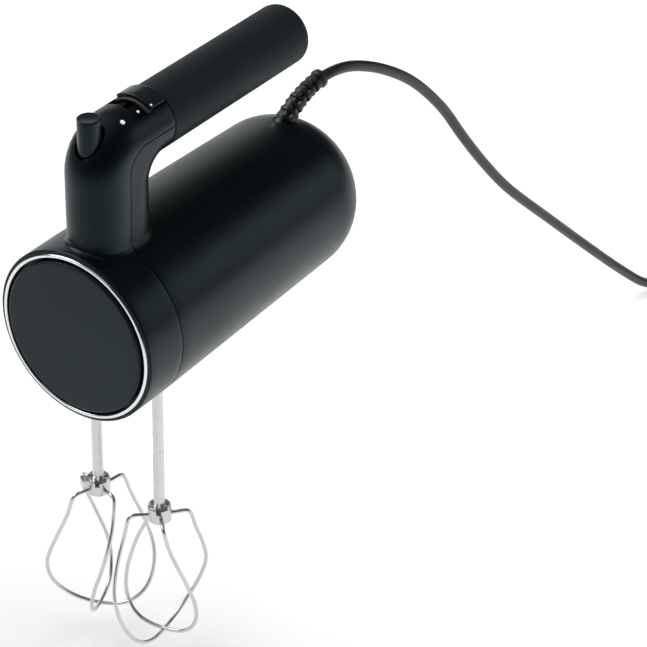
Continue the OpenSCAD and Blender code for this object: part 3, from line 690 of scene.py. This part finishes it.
def stem_rows(start, way, depth, radius):
    """Half sections of the handle, one for each start on the seam: along the flat inside the core first, then
    round the arc of the radius, at equal shares of the whole length. Gives points (x, y, z)."""
    begin = np.arcsin(np.clip(depth(start), 0, radius) / radius)
    flat = np.where(begin > 0, 0, reach(start, way, depth, np.zeros(len(start))))
    run = SHARES * (flat + radius * (np.pi / 2 - begin))[:, None]
    angle = np.clip(begin[:, None] + (run - flat[:, None]) / radius, 0, np.pi / 2)
    curved = reach(start[:, None], way[:, None], depth, radius * np.sin(angle))
    t = np.where(run <= flat[:, None], run, curved)
    side = start[:, None] + t[..., None] * way[:, None]
    x = half_width(side, radius)
    x[:, -1] = 0
    return np.concatenate([x[..., None], side], axis=-1)


def body_height(x, y, size):
    """Height of the round body over (x, y): sqrt(r(y)^2 - x^2), r tapering from the front to the dome."""
    r = np.interp(y, [FRONT_LEN, 178.7], [size["body_front_radius"], size["body_rear_radius"]])
    return np.sqrt(r ** 2 - x ** 2)


def foot_rows(sign, seam, size):
    """The fillet where the stem meets the body, a quarter turn from the body up the stem's side: the outline moves
    out by F (1 - cos a) and stands F (1 - sin a) above the body. Above it, rows climb to the first bend."""
    radius, fillet = size["grip_radius"], size["foot_radius"]
    edge = PILLAR_FRONT if sign < 0 else PILLAR_REAR

    def outline(wide):
        flat = abs(edge - seam)
        run = SHARES * (flat + wide * np.pi / 2)
        angle = np.clip((run - flat) / wide, 0, np.pi / 2)
        return wide * np.cos(angle), np.where(run <= flat, seam + sign * run, edge + sign * wide * np.sin(angle))

    rows = []
    for a in np.linspace(np.pi / 2, 0, 9):
        x, y = outline(radius + fillet * (1 - math.cos(a)))
        rows.append(np.stack([x, y, body_height(x, y, size) + fillet * (1 - math.sin(a))], axis=-1))
    sunk = rows[0].copy()
    sunk[:, 2] -= 0.6
    x, y = outline(radius)
    low = rows[-1][:, 2]
    climb = [np.stack([x, y, low + (BEND_IN[1] - low) * f], axis=-1) for f in np.linspace(0, 1, 11)[1:]]
    return np.array([sunk] + rows + climb)


def front_half(size):
    """The handle's half in front of the seam: foot, stem, bend over the seam's arc, and top up to the sleeve."""
    gap = size["seam_gap"] / 2
    z = np.linspace(BEND_IN[1], SEAM_MID[1], 7)[1:]
    upright = np.stack([np.full(len(z), FRONT_LEN - gap), z], axis=-1)
    a = np.linspace(0, np.pi / 2, 25)[1:]
    arc = SEAM_MID + (SEAM_R + gap) * np.stack([-np.cos(a), np.sin(a)], axis=-1)
    y = np.concatenate([[SLOT_Y], np.linspace(SLOT_Y, COLLAR_Y, 12)[1:]])
    level = np.stack([y, np.full(len(y), SEAM_MID[1] + SEAM_R + gap)], axis=-1)
    start = np.vstack([upright, arc, level])
    way = np.vstack([np.tile([-1.0, 0.0], (len(z), 1)), np.stack([-np.cos(a), np.sin(a)], axis=-1),
                     np.tile([0.0, 1.0], (len(y), 1))])
    foot = foot_rows(-1, FRONT_LEN - gap, size)
    return np.vstack([foot, stem_rows(start, way, outside, size["grip_radius"])]), len(foot) + len(z) + len(a)


def rear_half(size):
    """The handle's half behind the seam: its sections point at the middle of the bend under the arch."""
    gap = size["seam_gap"] / 2
    z = np.linspace(BEND_IN[1], SEAM_MID[1], 7)[1:]
    upright = np.stack([np.full(len(z), FRONT_LEN + gap), z], axis=-1)
    a = np.linspace(0, np.pi / 2, 21)[1:]
    arc = SEAM_MID + (SEAM_R - gap) * np.stack([-np.cos(a), np.sin(a)], axis=-1)
    top = SEAM_MID[1] + SEAM_R - gap
    y = np.linspace(SEAM_MID[0], BEND_IN[0], 10)[1:]
    level = np.stack([y, np.full(len(y), top)], axis=-1)
    last = np.stack([np.linspace(BEND_IN[0], COLLAR_Y, 4)[1:], np.full(3, top)], axis=-1)
    start = np.vstack([upright, arc, level])
    way = np.vstack([unit(BEND_IN - start), np.tile([0.0, -1.0], (3, 1))])
    foot = foot_rows(1, FRONT_LEN + gap, size)
    return np.vstack([foot, stem_rows(np.vstack([start, last]), way, inside, size["grip_radius"])])


def top_height(x, y, radius):
    """Height of the handle's upper surface over points in front of the bend's middle."""
    return BEND_OUT[1] + np.sqrt((BEND_OUT_MID + np.sqrt(radius ** 2 - x ** 2)) ** 2 - (y - BEND_OUT[0]) ** 2)


# ---------------------------------------------------------------- pieces

def outward(piece, middle):
    """Turns an open surface's faces so that they look away from the middle, given in body millimetres."""
    mesh = piece.data
    centre = Vector(place(middle))
    score = sum((face.center - centre).dot(face.normal) for face in mesh.polygons)
    if score < 0:
        mesh.flip_normals()


def cord_line():
    """Centreline of the cord in body millimetres: the route, four turns of the coil wound clockwise in two layers
    of two, then the tail to the plug, evened to 4 mm and smoothed by a bell curve of weights."""
    first = math.radians(198.4)
    turn = np.radians(np.arange(0.0, 1298.6, 4.0))

    def ease(u):
        """Smooth step: 3 u^2 - 2 u^3."""
        return u * u * (3 - 2 * u)

    def step(middle):
        """0 to 1 over the 50 degrees of turning about the middle."""
        return np.clip((np.degrees(turn) - middle + 25) / 50, 0, 1)

    thick = sizes()["cord_diameter"]
    r = COIL_R + thick / 2 + 3.75 * (1 - ease(np.clip(np.degrees(turn) / 70, 0, 1)))
    r = r - thick * ease(step(345)) + thick * ease(step(1065))
    z = COIL_BOTTOM + thick * ease(step(705))
    a = first - turn
    coil = np.stack([COIL_MID[0] + r * np.cos(a), COIL_MID[1] + r * np.sin(a), z + 0 * a], axis=-1)
    route = smooth(CORD_ROUTE, np.linspace(0, len(CORD_ROUTE) - 1, 240))
    tail = smooth(TAIL_ROUTE, np.linspace(0, len(TAIL_ROUTE) - 1, 24))
    line = evenly(np.vstack([relief_point(np.radians([18.0, 15.0]))[0], route, coil[2:-2], tail]), 3.0)
    reach_out = 9
    weights = np.exp(-0.5 * (np.arange(-reach_out, reach_out + 1) / 2.2) ** 2)
    weights /= weights.sum()
    ahead, behind = 2 * line[:1] - line[reach_out:0:-1], 2 * line[-1:] - line[-2:-reach_out - 2:-1]
    padded = np.vstack([ahead, line, behind])
    return np.stack([np.convolve(padded[:, k], weights, mode="valid") for k in range(3)], axis=-1)


def relief_point(angle):
    """Points and directions on the strain relief's arc: centre + 52 (-sin f, cos f), turned 10 degrees sideways."""
    y, z = 38 - 52 * np.sin(angle), 11 + 52 * np.cos(angle)
    turn = math.radians(-10)
    point = np.stack([-y * math.sin(turn), 187 + y * math.cos(turn), z], axis=-1)
    way = np.stack([-np.cos(angle) * math.sin(turn), np.cos(angle) * math.cos(turn), np.sin(angle) * -1], axis=-1)
    return point, way


def relief_shape():
    """Strain relief: a tapered sleeve on an arc. Eight pairs of windows are cut between the ribs, and each pair
    stands a quarter turn from the last, so r = rib or, in a window, core."""
    steps, sides = 330, 72
    angle = np.radians(np.linspace(58.0, 12.0, steps))
    point, _ = relief_point(angle)
    t = unit(np.gradient(point, axis=0))
    u = unit(np.cross(t, (0.0, 0.0, 1.0)))
    v = np.cross(t, u)
    a = 2 * np.pi * np.arange(sides) / sides
    place_in = (np.degrees(angle) - 13.2) / 4.6 - 0.5
    number = np.floor(place_in)
    within = np.abs(place_in - number - 0.5)
    long_side = np.clip((0.31 - within) / 0.07, 0, 1)[:, None]
    offset = (number % 2)[:, None] * np.pi / 2
    round_side = np.clip((np.abs(np.sin(a[None] + offset)) - 0.42) / 0.16, 0, 1)
    used = ((number >= 0) & (number < 9))[:, None]
    window = long_side * round_side * used
    window = window * window * (3 - 2 * window)
    rib = np.interp(np.degrees(angle), [12, 15.2, 16.4, 58], [5.5, 5.5, 4.9, 6.0])[:, None]
    rib = rib + 0.12 * np.cos(2 * np.pi * (place_in - number))[:, None]
    r = rib - (rib - 3.7) * window
    ends = np.interp(np.degrees(angle), [12, 12.5, 13.2], [0.78, 0.95, 1.0])[:, None]
    r = r * ends
    ring = u[:, None] * np.cos(a)[None, :, None] + v[:, None] * np.sin(a)[None, :, None]
    tube = point[:, None] + r[..., None] * ring
    caps = [np.repeat(point[k:k + 1, None], sides, axis=1) for k in (0, -1)]
    return np.concatenate([caps[0], tube, caps[1]])


def wire_loop(half, hand, phase):
    """One wire of a beater: out of the hub on one side, down, and up to the other side, turning with depth."""
    t = np.linspace(-1, 1, 241)
    h = smooth(half, (1 - np.abs(t)) * (len(half) - 1))
    turn = np.radians(phase + hand * h[:, 2])
    r = np.where(t < 0, -h[:, 0], h[:, 0])
    path = np.stack([hand * BEATER_X + r * np.cos(turn), BEATER_Y + r * np.sin(turn), h[:, 1]], axis=-1)
    side = np.stack([-np.sin(turn), np.cos(turn), 0 * turn], axis=-1)
    return path, side


def refined(name, node, width, angle=35):
    """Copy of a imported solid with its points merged, its flat faces joined and its edges rounded."""
    mesh = frame["nodes"][node].data.copy()
    mesh.name = name
    merged = bmesh.new()
    merged.from_mesh(mesh)
    bmesh.ops.remove_doubles(merged, verts=merged.verts, dist=1e-6)
    bmesh.ops.recalc_face_normals(merged, faces=merged.faces)
    bmesh.ops.dissolve_limit(merged, angle_limit=math.radians(1.0), verts=merged.verts, edges=merged.edges)
    merged.to_mesh(mesh)
    merged.free()
    piece = bpy.data.objects.new(name, mesh)
    bpy.context.scene.collection.objects.link(piece)
    if width:
        soften(piece, width, angle)
    polish(piece.data, angle)
    return piece


class MIXER_OT_stage(bpy.types.Operator):
    """Camera, floor and soft studio light"""
    bl_idname = "mixer.stage"
    bl_label = "Stage"

    def execute(self, context):
        scene = context.scene
        lens = bpy.data.cameras.new("Studio camera")
        lens.lens, lens.sensor_width = 144.67, 36.0
        lens.clip_end = 50
        camera = bpy.data.objects.new("Studio camera", lens)
        scene.collection.objects.link(camera)
        az, el, roll = (math.radians(x) for x in (34.026, 33.667, 1.4675))
        back = Vector((math.sin(az) * math.cos(el), -math.cos(az) * math.cos(el), math.sin(el)))
        right = Vector((math.cos(az), math.sin(az), 0))
        up = back.cross(right)
        tilt = (math.cos(roll) * right + math.sin(roll) * up, -math.sin(roll) * right + math.cos(roll) * up, back)
        camera.matrix_world = Matrix.Translation((0.7270, -0.9730, 0.6512)) @ Matrix(tilt).transposed().to_4x4()
        scene.camera = camera

        mesh = bpy.data.meshes.new("floor")
        side = np.linspace(-7, 7, 9)
        x, y = np.meshgrid(side, side, indexing="ij")
        points = np.stack([x, y, np.full(x.shape, FLOOR_Z)], axis=-1).reshape(-1, 3)
        index = np.arange(81).reshape(9, 9)
        quads = np.stack([index[:-1, :-1], index[1:, :-1], index[1:, 1:], index[:-1, 1:]], axis=-1).reshape(-1, 4)
        mesh.from_pydata(points.tolist(), [], quads.tolist())
        floor = bpy.data.objects.new("floor", mesh)
        scene.collection.objects.link(floor)
        mesh.materials.append(shade("Pale paper", colour("floor"), 0.9, tone=0.01, spread=0.03, bump=0.02))

        def lamp(name, where, size, power, aim, mirrored):
            light = bpy.data.lights.new(name, "AREA")
            light.shape, light.size, light.size_y = "RECTANGLE", size[0], size[1]
            light.energy = power
            lit = bpy.data.objects.new(name, light)
            scene.collection.objects.link(lit)
            lit.visible_camera = False
            lit.visible_glossy = mirrored
            lit.matrix_world = Matrix.Translation(where) @ (
                Vector(aim) - Vector(where)).to_track_quat("-Z", "Y").to_matrix().to_4x4()

        lamp("Floor wash", (0.35, 0.85, 1.35), (2.0, 1.6), 29, (0.35, 0.86, 0), False)
        lamp("Left softbox", (-1.2, -0.5, 1.1), (1.2, 1.0), 18, (-0.35, -0.25, -0.33), True)
        lamp("Back strip", (-1.7, 1.5, 0.35), (1.8, 1.2), 6, (0, 0, -0.05), True)
        lamp("Right patch", (0.68, 0.22, 0.25), (0.45, 0.45), 2.6, (0.68, 0.23, -1), False)
        lamp("Right softbox", (1.25, 1.4, 0.45), (1.0, 0.9), 3.2, (0, 0, -0.05), True)
        sun = bpy.data.lights.new("Soft skylight", "SUN")
        sun.energy, sun.angle = 0.75, math.radians(90)
        high = bpy.data.objects.new("Soft skylight", sun)
        scene.collection.objects.link(high)
        high.matrix_world = Vector((0.45, 0.3, -1.0)).to_track_quat("-Z", "Y").to_matrix().to_4x4()
        world = bpy.data.worlds.new("Studio grey")
        world.use_nodes = True
        tree = world.node_tree
        # The dim world lights the mixer. The bright one is only what the camera sees behind it.
        dim, seen = tree.nodes["Background"], tree.nodes.new("ShaderNodeBackground")
        for node, tint, strength in ((dim, (0.9, 0.97, 1.0, 1), 0.07), (seen, (0.9, 0.9, 0.9, 1), 0.9)):
            node.inputs["Color"].default_value = tint
            node.inputs["Strength"].default_value = strength
        ray, choice = tree.nodes.new("ShaderNodeLightPath"), tree.nodes.new("ShaderNodeMixShader")
        tree.links.new(ray.outputs["Is Camera Ray"], choice.inputs[0])
        tree.links.new(dim.outputs[0], choice.inputs[1])
        tree.links.new(seen.outputs[0], choice.inputs[2])
        tree.links.new(choice.outputs[0], tree.nodes["World Output"].inputs["Surface"])
        scene.world = world
        scene.view_settings.view_transform = "Standard"
        return {"FINISHED"}


class MIXER_OT_cord(bpy.types.Operator):
    """Power cord with its coil, tie and plug"""
    bl_idname = "mixer.cord"
    bl_label = "Power cord"

    def execute(self, context):
        size = sizes()
        line = cord_line()
        shape = Shape().add(swept(line, size["cord_diameter"] / 2, (0.0, 0.0, 1.0), 16))
        cord = build("power_cord_jacket", shape)
        fit(cord, cord_rubber(), "housing", "cord_black", "power_cord", "cord_coil")
        tie = fit(refined("cord_tie", "coil_tie", 0.3), relief_rubber(), "housing", "cord_black", "coil_tie")
        plug = fit(refined("plug_moulding", "plug_body", 0.8), relief_rubber(), "housing", "cord_black",
                   "plug_body")
        pins = fit(refined("plug_contacts", "plug_pins", 0.2), inner_materials()["pin_metal"], "housing",
                   "pin_metal", "plug_pins")
        return {"FINISHED"}


class MIXER_OT_front_cover(bpy.types.Operator):
    """Front moulding: round front, front of the stem and top of the handle with the slider's opening"""
    bl_idname = "mixer.front_cover"
    bl_label = "Front cover"

    def execute(self, context):
        size = sizes()
        rim = size["body_front_radius"]
        profile = rounded([(0, 4, 0), (45.4, 4, 0), (45.4, 2, 0), (47.4, 2, 0), (47.4, 0.3, 0.25),
                           (rim, 0.3, 1.1), (rim, 27.0, 0.3), (rim - 2.5, 27.0, 0), (47, 6.6, 0), (0, 6.6, 0)])
        barrel = build("cover_barrel", Shape().add(turned(spaced(profile, 6), 160)))
        rows, slot_row = front_half(size)
        keep = np.ones((len(rows) - 1, len(SHARES) - 1), bool)
        keep[slot_row:, 14:] = False
        handle = build("cover_handle", Shape().add(rows, round_v=False, keep=keep).mirrored(), angle=60)
        outward(handle, (0.0, 34.0, 88.0))
        wall(handle, WALL)
        bore = np.array([(0, 90.0), (WELL_R, 90.0), (WELL_R, 125.0), (0, 125.0)])
        cut(handle, Shape().add(turned_upright(bore, WELL, 96)))
        soften(handle, 0.28)
        a = 2 * np.pi * np.arange(96) / 96
        inner, outer = WELL_R + 0.04, WELL_R + 1.6
        top = [top_height(r * np.cos(a), WELL[1] + r * np.sin(a), size["grip_radius"]) - 1.3
               for r in (inner, outer)]

        def ring(r, z):
            """Level circle about the button's axis."""
            return np.stack([r * np.cos(a), WELL[1] + r * np.sin(a), z + 0 * a], axis=-1)

        liner = np.array([ring(0.0, 94.0), ring(inner - 0.8, 94.0), ring(inner, 94.8), ring(inner, top[0]),
                          ring(outer, top[1]), ring(outer, 92.2), ring(0.0, 92.2)])
        tube = build("cover_liner", Shape().add(liner))
        fit(join("front_cover", barrel, handle, tube), shell_plastic(), "housing", "black_shell", "front_housing")
        return {"FINISHED"}


class MIXER_OT_rear_housing(bpy.types.Operator):
    """Main moulding: tapered body, domed end, rear of the stem, beater holes, air slots and cord hole"""
    bl_idname = "mixer.rear_housing"
    bl_label = "Rear housing"

    def execute(self, context):
        size = sizes()
        front = FRONT_LEN + size["seam_gap"] / 2
        rim, rear, dome = size["body_front_radius"], size["body_rear_radius"], size["dome_radius"]
        a = np.linspace(0, np.pi / 2, 22)
        arc = np.stack([rear - dome + dome * np.cos(a), 178.7 + dome * np.sin(a)], axis=-1)
        inner_arc = np.stack([rear - dome + (dome - 2.5) * np.cos(a), 178.7 + (dome - 2.5) * np.sin(a)], axis=-1)
        profile = np.vstack([[(rim - 2.5, front)], rounded([(rim - 1, front, 0), (rim, front, 0.3),
                             (rear, 178.7, 0)]), arc[1:], [(0, 178.7 + dome)], [(0, 178.7 + dome - 2.5)],
                             inner_arc[::-1], [(rim - 2.5, front)]])
        body = build("housing_body", Shape().add(turned(spaced(profile, 7), 160)))
        for side in (-1, 1):
            hole = np.array([(0, -60.0), (8.75, -60.0), (8.75, -20.0), (0, -20.0)])
            cut(body, Shape().add(turned_upright(hole, (side * BEATER_X, BEATER_Y), 64)))
        outline, normals = round_corners(2.6, 36.0, 1.29, 6, 6.0)
        vents = Shape()
        for x in (-17.5, -10.5, -3.5, 3.5, 10.5, 17.5):
            vents.add(pillow(outline, normals, -60.0, -30.0, 0.1) + (x, 146.0, 0.0))
        cut(body, vents)
        point, _ = relief_point(np.radians(np.linspace(70, 42, 12)))
        cut(body, Shape().add(swept(point, 6.4, (1.0, 0.0, 0.0), 40)))
        soften(body, 0.3)
        handle = build("housing_handle", Shape().add(rear_half(size), round_v=False).mirrored(), angle=60)
        outward(handle, (0.0, 36.0, 92.0))
        wall(handle, WALL)
        soften(handle, 0.28)
        fit(join("rear_housing", body, handle), shell_plastic(), "housing", "black_shell", "main_shell")
        return {"FINISHED"}


class MIXER_OT_face(bpy.types.Operator):
    """Flat disc and bright ring on the front"""
    bl_idname = "mixer.face"
    bl_label = "Disc and ring"

    def execute(self, context):
        size = sizes()
        r = size["disc_radius"]
        disc = rounded([(0, 4, 0), (r, 4, 0), (r, -0.6, 0.25), (r - 1.0, -1.3, 0.5), (0, -1.3, 0)])
        fit(build("face_disc", Shape().add(turned(spaced(disc, 4), 192))), disc_plastic(), "housing",
            "disc_grey", "front_disc")
        ring = rounded([(46.4, 2, 0), (45.4, 2, 0.1), (45.4, -0.5, 0.7), (47.4, -0.5, 0.7), (47.4, 2, 0.1),
                        (46.4, 2, 0)])
        fit(build("face_ring", Shape().add(turned(ring, 192))), bright_chrome(), "housing", "ring_chrome",
            "chrome_ring")
        return {"FINISHED"}


class MIXER_OT_grip(bpy.types.Operator):
    """Soft sleeve of the grip with its rounded end"""
    bl_idname = "mixer.grip"
    bl_label = "Grip"

    def execute(self, context):
        size = sizes()
        r, front = size["grip_radius"], COLLAR_Y + 0.6
        profile = rounded([(0, GRIP_END - 6, 0), (r - 2.5, GRIP_END - 6, 0.5), (r - 2.5, front, 0.2),
                           (r, front, 0.7), (r, GRIP_END, 5.6), (0, GRIP_END, 0)], 9)
        sleeve = build("grip_cover", Shape().add(turned(spaced(profile, 5), 128, GRIP_RISE)))
        fit(sleeve, grip_rubber(), "housing", "grip_black", "grip_sleeve")
        return {"FINISHED"}


def saddle(width, depth, corner, low, high, edge, middle):
    """Block bent round the grip's axis: the outline's width runs round at the upper radius, a = u / high, and its
    height is the radius h, so a point is (h sin a, y, axis + h cos a)."""
    outline, normals = round_corners(width, depth, corner, 6, 1.2)
    block = pillow(outline, normals, low, high, edge, 4, 7)
    a = block[..., 0] / high
    return np.stack([block[..., 2] * np.sin(a), middle + block[..., 1], GRIP_RISE + block[..., 2] * np.cos(a)],
                    axis=-1)


class MIXER_OT_controls(bpy.types.Operator):
    """Speed slider, its track and dots, and the eject button"""
    bl_idname = "mixer.controls"
    bl_label = "Slider and button"

    def execute(self, context):
        arc = math.radians(2) * 18.9
        plate = build("slider_plate", Shape().add(saddle(38.5 * arc, 12.0, 1.6, 15.3, 18.9, 0.75, 57.9)), angle=50)
        lip = build("slider_lip", Shape().add(saddle(37.0 * arc, 3.6, 0.6, 15.3, 16.9, 0.4, 52.2)), angle=50)
        fit(lip, lip_plastic(), "slider", "slider_grey")
        outline, normals = round_corners(3.0, 5.0, 0.3, 3, 1.5)
        stem = build("slider_stem", Shape().add(pillow(outline, normals, 105.7, 116.4, 0.2) + (0, 56.9, 0)))
        fit(join("speed_slider_cap", plate, stem), control_plastic(), "slider", "slider_grey",
            "speed_slider")
        # The rail takes the near-black matt finish that paints the shade in the slot.
        fit(refined("slider_rail", "slider_track", 0.2), recess_painted_shade(), "housing", "black_shell",
            "slider_track")
        dots = (("speed_dots", "speed_marks", "housing"), ("slider_dot", "slider_mark", "slider"))
        for name, node, body in dots:
            fit(refined(name, node, 0.12), white_print(), body, "print_white", node)
        a = np.linspace(0, 1, 9)
        dish = np.stack([5.3 * a, 121.35 + 0.35 * a ** 2], axis=-1)
        profile = np.vstack([dish[:-1], rounded([(5.3, 121.7, 0), (6.2, 121.7, 0.75), (6.2, 101.2, 0.3),
                             (5.0, 101.2, 0), (5.0, 117.2, 0.4), (0, 117.2, 0)])])
        button = build("button_cap", Shape().add(turned_upright(spaced(profile, 2.5), WELL, 96)))
        fit(button, control_plastic(), "ejector", "black_shell", "eject_button")
        return {"FINISHED"}


class MIXER_OT_relief(bpy.types.Operator):
    """Ribbed strain relief where the cord leaves the body"""
    bl_idname = "mixer.relief"
    bl_label = "Strain relief"

    def execute(self, context):
        relief = build("cord_relief", Shape().add(relief_shape()), angle=50)
        fit(relief, relief_rubber(), "housing", "cord_black", "strain_relief")
        return {"FINISHED"}


class MIXER_OT_beaters(bpy.types.Operator):
    """Shafts, hubs and wire loops of both beaters, and the collars they go into"""
    bl_idname = "mixer.beaters"
    bl_label = "Beaters"

    def execute(self, context):
        size = sizes()
        profile = rounded([(0, SHAFT_TOP, 0), (3.1, SHAFT_TOP, 0.9), (3.1, -24.0, 0.2), (2.5, -24.3, 0.1),
                           (2.5, -26.3, 0.1), (3.1, -26.6, 0.2), (3.1, HUB_LOW + 1, 0.3), (0, HUB_LOW + 1, 0)])
        for side, word in ((-1, "left"), (1, "right")):
            at = (side * BEATER_X, BEATER_Y)
            body = "beater_" + word
            shaft = build("shaft_" + word, Shape().add(turned_upright(spaced(profile, 5), at, 48)))
            fit(shaft, turned_steel(), body, "beater_steel", "beater_shaft_" + word)
            hub = refined("hub_" + word, "beater_hub_" + word, 0.25)
            fit(hub, turned_steel(), body, "beater_steel", "beater_hub_" + word)
            wires = Shape()
            for half, phase in ((OUTER_LOOP, PHASES[side]), (INNER_LOOP, PHASES[side] + 90)):
                path, across = wire_loop(half, side, phase)
                wires.add(swept(path, size["wire_radius"], across, 16))
            fit(build("wires_" + word, wires), beater_steel(), body, "beater_steel", "beater_wires_" + word)
        fit(refined("beater_sockets", "socket_collars", 0.3), shell_plastic(), "housing", "black_shell",
            "socket_collars")
        return {"FINISHED"}


class MIXER_OT_mechanism(bpy.types.Operator):
    """Finishes of the motor, gears, switch and other inner pieces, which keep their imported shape"""
    bl_idname = "mixer.mechanism"
    bl_label = "Mechanism finishes"

    def execute(self, context):
        finishes = inner_materials()
        given = {part["node"]: part["material_slot"] for part in frame["record"]["subparts"]}
        for node, piece in frame["nodes"].items():
            piece.data.materials.clear()
            piece.data.materials.append(finishes[given[node]])
        return {"FINISHED"}


OPERATORS = (MIXER_OT_stage, MIXER_OT_cord, MIXER_OT_front_cover, MIXER_OT_rear_housing, MIXER_OT_face,
             MIXER_OT_grip, MIXER_OT_controls, MIXER_OT_relief, MIXER_OT_beaters, MIXER_OT_mechanism)


class MIXER_PT_panel(bpy.types.Panel):
    """Sidebar panel with one button for each piece or group of pieces"""
    bl_idname = "MIXER_PT_panel"
    bl_label = "Hand mixer"
    bl_space_type = "VIEW_3D"
    bl_region_type = "UI"
    bl_category = "Mixer"

    def draw(self, context):
        for operator in OPERATORS:
            self.layout.operator(operator.bl_idname)
        for settings in (context.scene.mixer_sizes, context.scene.mixer_colours):
            for name in settings.__annotations__:
                self.layout.prop(settings, name)


CLASSES = (MixerSizes, MixerColours) + OPERATORS + (MIXER_PT_panel,)


def register():
    for item in CLASSES:
        bpy.utils.register_class(item)
    bpy.types.Scene.mixer_sizes = bpy.props.PointerProperty(type=MixerSizes)
    bpy.types.Scene.mixer_colours = bpy.props.PointerProperty(type=MixerColours)


def unregister():
    del bpy.types.Scene.mixer_sizes
    del bpy.types.Scene.mixer_colours
    for item in reversed(CLASSES):
        bpy.utils.unregister_class(item)


def main():
    register()
    for operator in OPERATORS:
        section, name = operator.bl_idname.split(".")
        getattr(getattr(bpy.ops, section), name)()
    bpy.context.view_layer.update()


if __name__ == "__main__":
    main()
